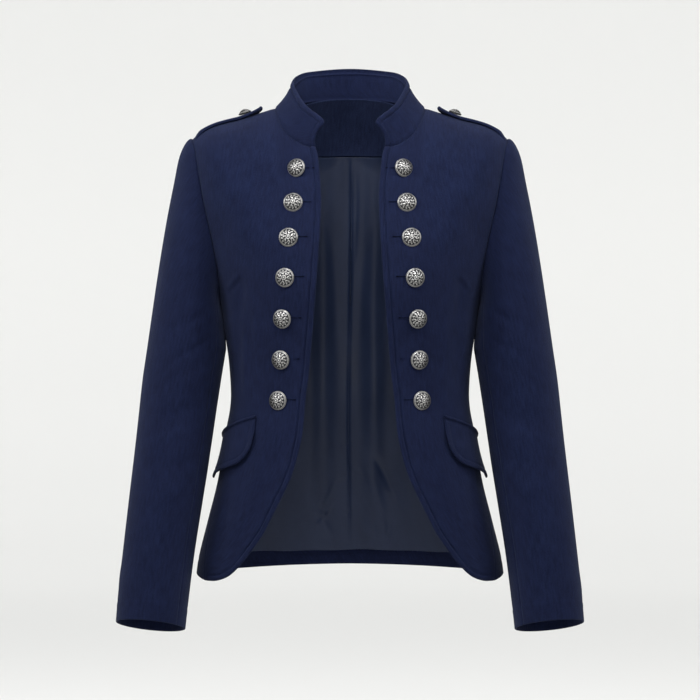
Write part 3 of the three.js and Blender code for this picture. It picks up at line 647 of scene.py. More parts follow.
# Back. One plain piece of the same twill from neck to hem, with its edge turned up 17 mm
# inside and felled. It shows only inside the hem in the photograph, so its outside is plain.
BACK_HEM = np.array([[1150, -568.2], [1570.8, -563.2], [2200, -566], [3141.6, -563.3]]) * MM
HEM_STITCH = {"in": 17 * MM, "dip": 0.35 * MM, "width": 1.4 * MM}
BACK_NECK_Z = 17 * MM
BACK_CREASES = [
    (-142, -60, -146, -110, -140, -160, 12.0, -1.2),
    (146, -64, 149, -118, 143, -168, 12.0, -1.1),
    (-98, -262, -92, -300, -95, -372, 10.0, -1.7),
    (96, -258, 90, -304, 94, -366, 10.0, -1.6),
    (-44, -286, 4, -294, 52, -284, 10.0, -1.0),
    (-60, -318, -8, -326, 44, -316, 9.0, 0.9),
    (-30, -346, 22, -352, 70, -342, 9.0, -0.7),
    (-118, -408, -124, -462, -132, -528, 11.0, 1.3),
    (120, -402, 128, -466, 134, -532, 11.0, 1.4),
    (-52, -412, -58, -474, -62, -540, 13.0, 1.0),
    (58, -418, 62, -480, 64, -544, 13.0, 1.0),
    (-70, -22, 0, -36, 72, -20, 12.0, 0.8),
    (-112, -96, -70, -128, -30, -120, 14.0, 0.7),
    (110, -100, 72, -134, 34, -124, 14.0, 0.7),
]
back_u = steps((0, 0.95, 52), (0.95, 1, 11))
back_v = steps([0, 0.0004, 0.0012, 0.0028, 0.005], (0.008, 0.97, 150), (0.97, 1, 16))
BACK_NECK_POINTS = 30
BACK_HEM_POINTS = 60
BACK_UNDERARM_V = 0.55
BACK_NECK_U = 0.45


def back_neck_line(u):
    return line_at(NECK_POINT_X * u, BACK_NECK_Z * (1 - u**2), False)


def back_hem_line(u):
    turn = blended(np.pi, SIDE_SEAM[0, 1], u)
    return np.stack([turn, read_table(BACK_HEM, 1, turn)], -1)


low_v = np.clip(back_v / BACK_UNDERARM_V, 0, 1)
high_v = np.clip((back_v - BACK_UNDERARM_V) / (1 - BACK_UNDERARM_V), 0, 1)
middle_z = np.where(back_v < BACK_UNDERARM_V,
                    blended(BACK_HEM[-1, 1], UNDERARM_Z, low_v),
                    blended(UNDERARM_Z, BACK_NECK_Z, (1 - np.cos(np.pi * high_v)) / 2))
back_middle = np.stack([np.full_like(middle_z, np.pi), middle_z], -1)
back_side = side_edge(back_v, BACK_UNDERARM_V, False)
back_top = top_edge(back_u, BACK_NECK_U, back_neck_line, False)
back_grid = fill(back_middle, back_side, back_hem_line(back_u), back_top, back_u, back_v)
back_half = on_body(back_grid)
back_half_out = out_of_body(back_grid[..., 0], back_grid[..., 1])
back_surface = np.concatenate([back_half[::-1], flipped(back_half)[::-1][1:]])
back_out = np.concatenate([back_half_out[::-1], flipped(back_half_out)[::-1][1:]])
on_left = np.concatenate([np.abs(back_surface[..., :1]), back_surface[..., 1:]], -1)
back_from_side, back_from_seam = from_seams(
    on_left, back_neck_line(np.linspace(0, 1, BACK_NECK_POINTS)), False)
back_hem = on_body(back_hem_line(np.linspace(0, 1, BACK_HEM_POINTS)))
back_from_hem = distance_to(on_left, back_hem)[0]
back_relief = (creased(back_surface[..., [0, 2]], BACK_CREASES)
               + np.minimum(seam_rise(back_from_side, SIDE_SEAM_SHARE), seam_rise(back_from_seam))
               - HEM_STITCH["dip"] * bell(back_from_hem - HEM_STITCH["in"], HEM_STITCH["width"]))
back_surface = back_surface + back_out * back_relief[..., None]
back = wall("back_panel", back_surface, back_out, CLOTH, back_from_hem, navy_twill,
            flat_map(back_surface))
dress(back, "cloth", "back", flat=(0.44, 0.58), held="hung", rests_on=["collar_stand"],
      area=0.235)


# Collar. A stand collar of two layers of the twill with canvas between, 3 mm thick and 40 mm
# high. Its tips are rounded, and its edge is turned and stitched as the fronts are.
COLLAR_TOP = np.array([
    [0, 30.3, -64, -25], [30, 31.5, -63.5, -20], [100, 38, -58.5, -13.5],
    [200, 46.5, -50, -6.5], [330, 56, -37, 4], [480, 67, -8, 25], [560, 69.5, 8, 34],
    [660, 66, 28, 43], [800, 50, 47, 50.5], [1000, 0, 58, 56], [1200, -50, 47, 50.5],
]) * MM
COLLAR_BOW = 2.5 * MM
COLLAR_END = {"hollow": 5.2 * MM, "share": 0.15}
COLLAR_CLOTH = 3.0 * MM
COLLAR_NECK_SHARE = 6 / 11
COLLAR_CREASES = [
    (-72, 12, -60, -8, -56, -30, 7.0, 0.8),
    (74, 12, 63, -6, 57, -26, 7.0, 0.7),
    (-46, -12, -48, -30, -52, -44, 8.0, -0.6),
    (47, -12, 50, -32, 52, -46, 8.0, -0.7),
]
# Both ends of the collar need close columns, and so does its top edge.
half_s = steps([0, 0.0035, 0.008, 0.016, 0.027, 0.04, 0.055, 0.07, 0.085, 0.1], (0.12, 1, 72))
collar_v = steps((0, 0.12, 9), (0.12, 0.74, 16), (0.74, 0.965, 14),
                 [0.978, 0.987, 0.994, 0.998, 1])


def collar_half(s, v):
    """Half of the stand, from the front end, s 0, to the centre back, s 1. It goes straight
    from the neck seam up to its top edge, and bows inwards by a sine and a squared one. Its
    front end is hollowed sideways by a sine, which fades by the square of the distance."""
    in_front = s < COLLAR_NECK_SHARE
    front_foot = on_body(front_neck_line(np.clip(s / COLLAR_NECK_SHARE, 0, 1)))
    back_share = np.clip((1 - s) / (1 - COLLAR_NECK_SHARE), 0, 1)
    back_foot = on_body(back_neck_line(back_share))
    foot = np.where(in_front[:, None], front_foot, back_foot)
    top = np.stack([read_table(COLLAR_TOP, column, s) for column in (1, 2, 3)], -1)
    away = unit(foot * np.array([1, 1, 0]))
    bow = COLLAR_BOW * np.sin(np.pi * v)[None, :, None] * np.sin(np.pi * s)[:, None, None] ** 2
    stand = blended(foot[:, None], top[:, None], v[None, :, None]) - away[:, None] * bow
    fade = np.clip(1 - s / COLLAR_END["share"], 0, 1) ** 2
    stand[..., 0] += COLLAR_END["hollow"] * fade[:, None] * np.sin(np.pi * v)
    return stand


def grid_out(surface):
    """The way out of any grid: its slope along the columns crossed with that up the rows."""
    return unit(np.cross(np.gradient(surface, axis=0), np.gradient(surface, axis=1)))


half_collar = collar_half(half_s, collar_v)
collar_surface = np.concatenate([half_collar, flipped(half_collar)[1:]])
collar_out = grid_out(collar_surface)
fine = collar_half(np.linspace(0, 1, 160), np.linspace(0, 1, 40))
collar_edge = np.concatenate([fine[0], fine[1:, -1]])
collar_edge = np.concatenate([collar_edge, flipped(collar_edge)])
collar_foot = np.concatenate([fine[:, 0], flipped(fine[:, 0])])
collar_from_edge = distance_to(collar_surface, collar_edge)[0]
collar_from_seam = distance_to(collar_surface, collar_foot)[0]
collar_relief = (edge_roll(collar_from_edge) + seam_rise(collar_from_seam)
                 + creased(collar_surface[..., [0, 2]], COLLAR_CREASES))
collar_surface = collar_surface + collar_out * collar_relief[..., None]
collar = wall("collar_stand", collar_surface, collar_out, COLLAR_CLOTH, collar_from_edge,
              navy_twill, flat_map(collar_surface))
dress(collar, "cloth", "collar", flat=(0.40, 0.045), held="stretched",
      rests_on=["front_left_panel", "front_right_panel", "back_panel"], area=0.0145)


# Sleeves. Each is an upper and an under sleeve of the twill, joined by a seam at the front
# and one at the back, set into the armhole and hemmed 24 mm deep with a blind stitch.
SLEEVE = np.array([
    [-621.5, 197, 278.3, -48, 43.5], [-592, 194, 276.2, -44.5, 44.5],
    [-533, 186.9, 270.5, -37, 46.5], [-474, 178.0, 264.5, -29, 48.5],
    [-414, 168.7, 258.3, -20, 50.5], [-378, 163.6, 254.9, -14, 52],
    [-330, 157, 250.4, -7, 55], [-294, 151.3, 245.6, -3, 58],
]) * MM
SLEEVE_TOP = SLEEVE[-1, 0]
CUFF_Z = SLEEVE[0, 0]
CUFF_TILT = (0.09, -0.27)
CAP = {"out": 16 * MM, "out_more": 20 * MM, "out_top": 44 * MM, "forward": 28 * MM,
       "drop": 6 * MM, "fall": 38 * MM, "lift": 24 * MM, "plumb": 0.7}
ARM_CLEARANCE = 1.6 * MM
FRONT_ARM_SEAM = 0.1
BACK_ARM_SEAM = 0.85
CUFF_HEM = {"in": 24 * MM, "dip": 0.2 * MM, "width": 1.5 * MM, "swell_at": 4 * MM,
            "swell_width": 3 * MM}
SLEEVE_HEAD = {"rise": 1.9 * MM, "z": -58 * MM, "height": 22 * MM}
PRESSED = {"rise": 1.9 * MM, "z": -254 * MM, "height": 17 * MM}
# Creases of each sleeve. The path's points are given as hundredths of the way round the sleeve
# and z, and a hundredth counts as 3.3 mm.
ROUND_THE_SLEEVE = 330
SLEEVE_CREASES = {
    "left": [
        (12, -232, 20, -252, 30, -262, 6.0, -1.2),
        (10, -262, 19, -286, 31, -300, 6.5, -1.3),
        (9, -300, 17, -322, 26, -330, 7.0, 1.0),
        (8, -352, 18, -372, 29, -376, 8.0, -1.3),
        (10, -384, 21, -396, 33, -392, 8.0, 1.2),
        (9, -410, 19, -424, 30, -430, 8.0, -1.2),
        (13, -446, 24, -458, 36, -452, 9.0, 0.8),
        (14, -500, 22, -530, 25, -580, 11.0, -0.9),
        (36, -120, 37, -200, 36, -290, 17.0, 1.1),
        (31, -300, 31, -400, 29, -520, 15.0, 0.8),
        (62, -330, 70, -352, 80, -348, 9.0, -1.2),
        (60, -372, 71, -392, 82, -388, 9.0, 1.2),
        (61, -408, 72, -426, 82, -424, 9.0, -1.0),
        (66, -180, 72, -230, 80, -262, 10.0, -1.1),
        (88, -300, 95, -350, 99, -420, 10.0, -0.9),
        (45, -560, 52, -584, 60, -590, 9.0, 0.6),
    ],
    "right": [
        (12, -238, 21, -256, 32, -270, 6.0, -1.1),
        (10, -270, 20, -290, 29, -308, 6.0, -1.4),
        (9, -308, 18, -326, 28, -338, 7.0, 1.1),
        (8, -346, 17, -362, 30, -370, 8.0, -1.2),
        (10, -378, 20, -392, 31, -398, 8.0, 1.1),
        (9, -414, 20, -430, 32, -428, 8.5, -1.3),
        (12, -452, 22, -466, 35, -470, 9.0, 0.9),
        (15, -508, 23, -540, 27, -588, 11.0, -0.8),
        (37, -126, 38, -210, 36, -286, 16.0, 1.0),
        (30, -310, 32, -410, 30, -530, 15.0, 0.9),
        (61, -338, 72, -356, 81, -356, 9.0, -1.1),
        (60, -380, 70, -398, 82, -398, 9.0, 1.3),
        (62, -414, 73, -434, 82, -430, 9.0, -1.1),
        (67, -186, 74, -226, 81, -258, 10.0, -1.2),
        (89, -306, 96, -358, 99, -430, 10.0, -0.8),
        (44, -548, 53, -576, 61, -582, 9.0, 0.7),
    ],
}


def tube(turn, z):
    """The sleeve below the cap: an ellipse between its inner and outer side, with the cuff
    tilted by a share of the place across and from front to back."""
    inner, outer, middle, depth = (read_table(SLEEVE, column, z) for column in (1, 2, 3, 4))
    x = -np.cos(turn) * (outer - inner) / 2
    y = -np.sin(turn) * depth
    tilt = np.clip((SLEEVE_TOP - z) / (SLEEVE_TOP - CUFF_Z), 0, 1)
    return np.stack([(inner + outer) / 2 + x, middle + y,
                     z + tilt * (CUFF_TILT[1] * y + CUFF_TILT[0] * x)], -1)


def clear_of_body(points):
    """Keeps the inner side of the sleeve a little way out from the body's flattened ellipse."""
    x, y, z = points[..., 0], points[..., 1], points[..., 2]
    depth = np.where(y < 0, read_table(BODY, 2, z), read_table(BODY, 3, z))
    share = 1 - np.clip(np.abs(y) / depth, 0, 1) ** 2
    side = read_table(BODY, 1, z) * share ** (1 / SECTION_WIDTH_POWER) + ARM_CLEARANCE
    pushed = np.where(z > UNDERARM_Z - 4 * MM, x, np.maximum(x, side))
    return np.stack([pushed, y, z], -1)


def armhole_at(around):
    """The armhole's place and turn, from the underarm up the front and down the back."""
    in_front = around < 0.5
    front = on_body(armhole_line(np.clip(2 * around, 0, 1), True))
    back = on_body(armhole_line(np.clip(2 - 2 * around, 0, 1), False))
    return np.where(in_front[..., None], front, back)


def whole_sleeve(around, cap_steps, arm_steps):
    """The cap goes from the armhole to the top of the tube on a cubic that leaves the armhole
    outwards and reaches the tube along it. Below, the tube goes down to the cuff."""
    start = armhole_at(around)
    turn = 2 * np.pi * around
    end = tube(turn, SLEEVE_TOP)
    outer_share = np.maximum(-np.cos(turn), 0)
    leave = np.stack([
        CAP["out"] + CAP["out_more"] * np.sin(turn) ** 2 + CAP["out_top"] * outer_share**2,
        -CAP["forward"] * np.sin(turn),
        -CAP["drop"] - CAP["fall"] * np.sin(turn) ** 2 + CAP["lift"] * outer_share**2,
    ], -1)
    arrive = (tube(turn, SLEEVE_TOP - 5 * MM) - end) / (5 * MM)
    arrive = arrive * (CAP["plumb"] * (start[:, 2] - SLEEVE_TOP))[:, None]
    t = cap_steps[None, :, None]
    cap = ((2 * t**3 - 3 * t**2 + 1) * start[:, None] + (t**3 - 2 * t**2 + t) * leave[:, None]
           + (3 * t**2 - 2 * t**3) * end[:, None] + (t**3 - t**2) * arrive[:, None])
    height = blended(SLEEVE_TOP, CUFF_Z, arm_steps)
    arm = tube(turn[:, None] + 0 * height, height[None] + 0 * turn[:, None])
    return np.concatenate([clear_of_body(cap), arm[:, 1:]], 1)[:, ::-1]


# Round the sleeve there are more columns at the two long seams, and down it more rows at the
# armhole and the cuff.
BESIDE_SEAM = 0.034
near = np.array([-0.028, -0.02, -0.014, -0.0095, -0.006, -0.003, 0, 0.003, 0.006, 0.0095, 0.014,
                 0.02, 0.028])
sleeve_around = steps((0, FRONT_ARM_SEAM - BESIDE_SEAM, 10), FRONT_ARM_SEAM + near,
                      (FRONT_ARM_SEAM + BESIDE_SEAM, BACK_ARM_SEAM - BESIDE_SEAM, 86),
                      BACK_ARM_SEAM + near, (BACK_ARM_SEAM + BESIDE_SEAM, 1, 17))
cap_steps = steps((0, 0.06, 10), (0.06, 1, 66))
arm_steps = steps((0, 0.90, 92), (0.90, 0.985, 22), [0.99, 0.9945, 0.997, 0.9985, 0.9995, 1])
sleeve = whole_sleeve(sleeve_around, cap_steps, arm_steps)
closed = np.concatenate([sleeve[-2:-1], sleeve, sleeve[1:2]])
sleeve_out = grid_out(closed)[1:-1]
front_join = whole_sleeve(np.array([FRONT_ARM_SEAM]), cap_steps, arm_steps)[0]
back_join = whole_sleeve(np.array([BACK_ARM_SEAM]), cap_steps, arm_steps)[0]
armhole_loop = armhole_at(np.linspace(0, 1, 121))
cuff_loop = sleeve[:, 0]
sleeve_from_join = np.minimum(distance_to(sleeve, front_join)[0],
                              distance_to(sleeve, back_join)[0])
sleeve_from_armhole = distance_to(sleeve, armhole_loop)[0]
sleeve_from_cuff = distance_to(sleeve, cuff_loop)[0]
from_hem_line = sleeve_from_cuff - CUFF_HEM["in"]
hem_line = CUFF_HEM["dip"] * (bell(from_hem_line, CUFF_HEM["width"])
                              - bell(from_hem_line + CUFF_HEM["swell_at"],
                                     CUFF_HEM["swell_width"]))
sleeve_plain = np.minimum(seam_rise(sleeve_from_join, 0.5), seam_rise(sleeve_from_armhole))
# The head of the sleeve is eased in and stands out over the shoulder's end, and its inner side
# is pressed against the body below the underarm.
outer_part = np.clip(-np.cos(2 * np.pi * sleeve_around), 0, 1)[:, None] ** 2
inner_part = np.clip(np.cos(2 * np.pi * sleeve_around), 0, 1)[:, None] ** 2
head, pressed = (band["rise"] * bell(sleeve[..., 2] - band["z"], band["height"])
                 for band in (SLEEVE_HEAD, PRESSED))
sleeve_plain = sleeve_plain - hem_line + head * outer_part + pressed * inner_part
places = np.stack([(sleeve_around * ROUND_THE_SLEEVE * MM)[:, None] + 0 * sleeve[..., 2],
                   sleeve[..., 2]], -1)
seam_columns = [int(np.argmin(np.abs(sleeve_around - at))) for at in (FRONT_ARM_SEAM,
                                                                      BACK_ARM_SEAM)]
upper_part = np.arange(seam_columns[0], seam_columns[1] + 1)
under_part = np.concatenate([np.arange(seam_columns[1], len(sleeve_around)),
                             np.arange(1, seam_columns[0] + 1)])
for side in SIDES:
    creases = np.array(SLEEVE_CREASES[side])
    creases[:, 0:6:2] = creases[:, 0:6:2] * ROUND_THE_SLEEVE / 100
    relief = sleeve_plain + creased(places, creases)
    surface = sleeve + sleeve_out * relief[..., None]
    for part, columns, flat, area in (("upper", upper_part, (0.245, 0.64), 0.112),
                                      ("under", under_part, (0.105, 0.46), 0.034)):
        piece_surface, piece_out, from_edge, cloth_map = worn_on(
            side, surface[columns], sleeve_out[columns], sleeve_from_cuff[columns],
            flat_map(surface[columns]))
        name = f"{part}_sleeve_{side}"
        piece = wall(name + "_panel", piece_surface, piece_out, CLOTH, from_edge, navy_twill,
                     cloth_map)
        dress(piece, "cloth", name, flat=flat, held="hung",
              rests_on=[f"front_{side}_panel", "back_panel"], area=area)


# Pocket flaps. Each is two layers of the twill, 2.4 mm thick, bagged out and pressed, and
# hangs from a narrow welt. It slants down to the side and stands off the body at its foot.
FLAP = {"turn": (0.785, 1.68), "top": -375 * MM, "slant": 27 * MM, "height": 49 * MM,
        "length": 95 * MM, "inner_corner": 22 * MM, "outer_corner": 4 * MM,
        "cloth": 2.4 * MM, "flare": 3.2 * MM, "flare_more": 2.6 * MM, "roll": 0.4}
ON_PANEL = 0.8 * MM
WELT = np.array([[0, 0], [0.3, 0.1], [1.2, 0.2], [1.5, 0.9], [1.8, 1.6], [3.1, 2.0],
                 [4.4, 1.6], [4.9, 0.9], [5.2, 0]]) * MM
FLAP_CREASES = {
    "left": [(112, -392, 122, -404, 140, -408, 6.0, 0.5),
             (104, -378, 108, -400, 112, -420, 6.0, -0.5)],
    "right": [(-110, -396, -124, -402, -141, -414, 6.5, 0.5),
              (-103, -380, -109, -398, -111, -418, 6.0, -0.5)],
}


def corner_lift(distance, radius):
    """A quarter circle: how much a rounded corner lifts the lower edge near its end."""
    over = np.clip(radius - distance, 0, None)
    return radius - np.sqrt(np.clip(radius**2 - over**2, 0, None))


def off_body(turn, z, distance):
    return body(turn, z) + out_of_body(turn, z) * distance[..., None]


def flap_surface(u, v):
    """The flap from its lower edge, v 0, to the welt, v 1: its drop is its height less what
    the corners lift, and it stands off by the square of how far down it is, and more so
    towards the side of the body."""
    u, v = np.meshgrid(u, v, indexing="ij")
    lift = (corner_lift(u * FLAP["length"], FLAP["inner_corner"])
            + corner_lift((1 - u) * FLAP["length"], FLAP["outer_corner"]))
    turn = blended(*FLAP["turn"], u)
    z = FLAP["top"] - FLAP["slant"] * u - (1 - v) * (FLAP["height"] - lift)
    flare = FLAP["flare"] + FLAP["flare_more"] * u**2
    return off_body(turn, z, ON_PANEL + FLAP["cloth"] + flare * (1 - v) ** 2)


end_u = np.array([0, 0.0008, 0.0025, 0.005, 0.009, 0.014, 0.021, 0.03, 0.042, 0.056, 0.072,
                  0.09, 0.11])
flap_u = np.concatenate([end_u, np.linspace(0.11, 0.89, 52)[1:-1], 1 - end_u[::-1]])
flap_v = steps([0, 0.004, 0.01, 0.02], (0.032, 0.16, 12), (0.16, 1, 26))
flap_panel = flap_surface(flap_u, flap_v)
welt_turn = blended(*FLAP["turn"], flap_u)[:, None] + 0 * WELT[None, 1:, 0]
welt_z = FLAP["top"] - FLAP["slant"] * flap_u[:, None] + WELT[None, 1:, 0]
welt_rows = off_body(welt_turn, welt_z,
                     ON_PANEL + FLAP["cloth"] + WELT[None, 1:, 1] + 0 * welt_turn)
flap_points = np.concatenate([flap_panel, welt_rows], 1)
flap_out = grid_out(flap_points)
flap_edge = np.concatenate([flap_surface(np.array([0.0]), np.linspace(1, 0, 30))[0],
                            flap_surface(np.linspace(0, 1, 160), np.array([0.0]))[1:, 0],
                            flap_surface(np.array([1.0]), np.linspace(0, 1, 30))[0][1:]])
flap_rim = np.concatenate([flap_edge, flap_points[::-1, -1]])
flap_from_edge = distance_to(flap_points, flap_edge)[0]
flap_from_rim = distance_to(flap_points, flap_rim)[0]
below_welt = np.arange(flap_points.shape[1]) < len(flap_v) - 3
flap_roll = FLAP["roll"] * edge_roll(flap_from_edge) * below_welt
for side in SIDES:
    relief = flap_roll + creased(seen_from_front(flap_points, side), FLAP_CREASES[side])
    surface, outward, from_edge, cloth_map = worn_on(
        side, flap_points + flap_out * relief[..., None], flap_out, flap_from_rim,
        flat_map(flap_points))
    flap = wall(f"pocket_flap_{side}_cloth", surface, outward, FLAP["cloth"], from_edge,
                navy_twill, cloth_map)
    dress(flap, "cloth", f"pocket_flap_{side}", flat=(0.108, 0.056), held="hung",
          rests_on=[f"front_{side}_panel"], area=0.0058)


# Shoulder straps. Each is two layers of the twill, 3 mm thick, sewn in at the sleeve and held
# by a button near its rounded neck end, where it lifts a little. It is stitched 4 mm in.
STRAP = {"neck_end": 107 * MM, "sleeve_end": 190.4 * MM, "neck_half": 17 * MM,
         "sleeve_half": 21 * MM, "cloth": 3 * MM, "above": 1.7 * MM, "lift": 3.5 * MM,
         "lift_share": 0.35, "round_end": 9 * MM, "armhole_curve": 2.5 * MM,
         "roll": 0.8, "stitched": (0.07, 0.96), "across": 0.72}
STRAP_STITCH_IN = 4.2 * MM


def shoulder_top(x, y):
    """The height of the form at x and y: its rounding formula turned inside out, with the
    section's width taken at the height found in the pass before."""
    in_front = y < 0
    crest, height, inner, outer = shoulder_line(x, in_front)
    z = crest
    for _ in range(8):
        width = 1 - (x / read_table(BODY, 1, z)) ** SECTION_WIDTH_POWER
        depth = np.where(in_front, read_table(BODY, 2, z), read_table(BODY, 3, z))
        over = np.clip(np.abs(y) / (depth * np.sqrt(width)), 0, 1) ** (1 / outer)
        z = crest - height * (1 - (1 - over) ** (1 / inner))
    return z


def strap_surface(u, v):
    """The strap from the neck end, u 0, to the sleeve, and from its front edge, v -1, to its
    back edge. It widens evenly, its neck end rounds off by the fourth power of v, and it lifts
    there by the square of how near the end is. At the sleeve it sinks into the armhole seam."""
    u, v = np.meshgrid(u, v, indexing="ij")
    neck_end = STRAP["neck_end"] + STRAP["round_end"] * (1 - u) * v**4
    sleeve_end = STRAP["sleeve_end"] - STRAP["armhole_curve"] * u * v**2
    x = blended(neck_end, sleeve_end, u)
    y = v * blended(STRAP["neck_half"], STRAP["sleeve_half"], u)
    lifted = STRAP["lift"] * np.clip(1 - u / STRAP["lift_share"], 0, 1) ** 2
    sewn_in = (STRAP["above"] + STRAP["cloth"]) * eased((u - 0.9) / 0.1)
    return np.stack([x, y, shoulder_top(x, y) + STRAP["above"] + STRAP["cloth"] + lifted
                     - sewn_in], -1)


strap_u = steps([0, 0.003, 0.008, 0.016, 0.026], (0.038, 0.12, 9), (0.12, 0.97, 34),
                [0.982, 0.992, 1])
strap_v = steps([-1, -0.992, -0.978, -0.956, -0.93], (-0.9, -0.62, 9), (-0.62, 0, 12))
strap_v = np.concatenate([strap_v, -strap_v[-2::-1]])
strap_points = strap_surface(strap_u, strap_v)
strap_out = grid_out(strap_points)
rim_steps = np.linspace(-1, 1, 50)
long_steps = np.linspace(0, 1, 60)
strap_rim = np.concatenate([strap_surface(long_steps[::-1], np.array([-1.0]))[:, 0],
                            strap_surface(np.array([0.0]), rim_steps)[0],
                            strap_surface(long_steps, np.array([1.0]))[:, 0]])
strap_from_rim = distance_to(strap_points, strap_rim)[0]
strap_roll = STRAP["roll"] * edge_roll(strap_from_rim * STITCH_IN / STRAP_STITCH_IN)
strap_points = strap_points + strap_out * strap_roll[..., None]
for side in SIDES:
    surface, outward, from_edge, cloth_map = worn_on(side, strap_points, strap_out,
                                                     strap_from_rim, flat_map(strap_points))
    strap = wall(f"epaulette_{side}_strap", surface, outward, STRAP["cloth"], from_edge,
                 navy_twill, cloth_map)
    dress(strap, "cloth", f"epaulette_{side}", flat=(0.092, 0.042), held="laid",
          rests_on=[f"front_{side}_panel", "back_panel"], area=0.0037)


# Lining. Slate satin, 1 mm thick as it hangs, from the neck facing down to a fold 17 mm above
# the hem. Its centre seam holds a shallow pleat that closes downwards. Below the waist it
# puckers at the seam and falls in slanting folds, because it is cut longer than the back.
LINING = {"top": -50 * MM, "bottom": -545 * MM, "depth": 4.8 * MM, "gap": 1.0 * MM,
          "pleat": 1.2 * MM, "pleat_x": -5 * MM, "pleat_width": 7 * MM, "pleat_end": -330 * MM,
          "columns": 181, "foot_height": 16 * MM, "held_below": 12 * MM, "held_above": 8 * MM,
          "held_share": 0.25}
FOOT_WAVES = [(0.6, 43, 0.8), (0.4, 97, 0)]
LINING_FOLDS = [(-88, 18, 3), (-34, 13, 5), (30, 12, 5), (85, 18, 3)]
LINING_SIDE = np.array([[-570, 1750], [-260, 1750], [-215, 2000], [-180, 2120],
                        [-50, 2120]]) * MM
LINING_CLOTH = 1.0 * MM
# Folds as the path seen from in front, width and height towards the camera.
LINING_CREASES = [
    (6, -66, 8, -100, 7, -142, 5, -190, 2.6, -0.8),
    (12, -60, 13, -110, 10, -160, 7, -210, 4.5, 0.6),
    (-15, -60, -16, -112, -13, -168, -9, -230, 5.0, 0.4),
    (-35, -78, -30, -132, -21, -190, -19, -290, 6.0, -0.8),
    (36, -82, 27, -140, 16, -204, 12, -282, 6.0, -0.7),
    (44, -110, 36, -170, 28, -240, 26, -300, 7.0, 0.5),
    (2, -54, 2, -120, 1, -200, -1, -300, 1.6, -3.2),
    (-1, -290, -2, -380, -1, -460, 0, -541, 1.4, -2.6),
    (3, -300, 3, -380, 3, -460, 3, -538, 2.4, 0.5),
    (-1, -409, -7, -412, -12, -410, 2.2, -1.3),
    (-2, -450, -9, -453, -16, -456, 2.6, -1.5),
    (2, -440, 8, -443, 15, -449, 2.6, 1.2),
    (1, -497, -5, -499, -10, -497, 2.4, -1.2),
    (-14, -448, -24, -470, -38, -494, -58, -514, 4.2, -2.5),
    (-22, -462, -36, -486, -50, -506, -66, -520, 3.6, 1.7),
    (-18, -478, -32, -498, -46, -510, 3.4, -1.9),
    (-42, -488, -33, -497, -30, -504, 2.6, -1.7),
    (-39, -505, -30, -516, -24, -530, 4.5, 1.5),
    (26, -422, 38, -440, 50, -462, 64, -486, 4.8, -2.5),
    (14, -430, 28, -458, 40, -492, 46, -530, 6.0, 1.7),
    (56, -440, 70, -466, 84, -500, 7.0, 1.5),
    (44, -500, 49, -516, 46, -532, 3.4, -1.7),
    (22, -506, 30, -520, 34, -534, 4.0, 1.3),
    (-86, -330, -78, -400, -84, -470, 9.0, -1.9),
    (-60, -300, -58, -370, -64, -440, 8.0, 1.1),
    (62, -260, 58, -330, 66, -410, 9.0, -1.0),
    (-8, -534, -24, -540, -44, -538, 3.0, 1.5),
    (14, -536, 34, -541, 58, -538, 3.2, 1.4),
    (-120, -300, -112, -380, -118, -480, 12.0, 1.1),
    (116, -300, 110, -380, 120, -480, 12.0, 1.1),
]


def lining_depth(x, z):
    """How far inside the back the lining hangs: a bell curve for the pleat, which closes
    downwards, and one for each long fold, which fade at the top and bottom by a sine."""
    down = np.clip((LINING["top"] - z) / (LINING["top"] - LINING["pleat_end"]), 0, 1)
    along = np.clip((LINING["top"] - z) / (LINING["top"] - LINING["bottom"]), 0.001, 0.999)
    soften = np.sin(np.pi * along) ** 0.6
    pleat = bell(x - LINING["pleat_x"], LINING["pleat_width"])
    depth = LINING["depth"] + LINING["pleat"] * (1 - down) * pleat
    for fold, width, height in LINING_FOLDS:
        depth = depth + height * MM * soften * bell(x / MM - fold, width)
    return depth


satin = Finish("slate_satin", Roughness=0.42, Sheen_Weight=0.04, Sheen_Roughness=0.35,
               Sheen_Tint=(0.5, 0.64, 0.95, 1), Specular_IOR_Level=0.12)
satin_flat = satin.on_cloth()
warp = satin.noise(satin.stretched(satin_flat, (1.0, 0.06, 1.0)), 1500.0, 3.0, 0.6)
weft = satin.noise(satin.stretched(satin_flat, (0.08, 1.0, 1.0)), 900.0, 2.0, 0.5)
watered = satin.noise(satin.stretched(satin_flat, (1.0, 0.35, 1.0)), 34.0, 3.0, 0.55)
satin_tone = satin.ranged((warp - 0.5) * 0.5 + (weft - 0.5) * 0.3 + (watered - 0.5) * 0.7,
                          -0.4, 0.4)
satin.set(satin.shader, {
    "Base Color": satin.mixed(satin_tone, (0.0036, 0.0064, 0.0172), (0.0104, 0.0160, 0.0365)),
    "Roughness": 0.36 + watered * 0.12,
    "Normal": satin.bump(warp * 0.05 + weft * 0.03 + watered * 0.15, 0.0005, 0.5),
})

lining_v = steps([0, 0.0006, 0.0016, 0.003], (0.006, 0.994, 170), [0.997, 0.9986, 0.9995, 1])
across = np.linspace(1, -1, LINING["columns"])[:, None]
lining_z = blended(LINING["bottom"], LINING["top"], lining_v)[None] + 0 * across
lining_turn = blended(np.pi, read_table(LINING_SIDE, 1, lining_z), np.abs(across) ** 1.4)
lining_sign = np.where(across < 0, -1.0, 1.0)
lining_x = body(lining_turn, lining_z)[..., 0] * lining_sign
depth = lining_depth(lining_x, lining_z)
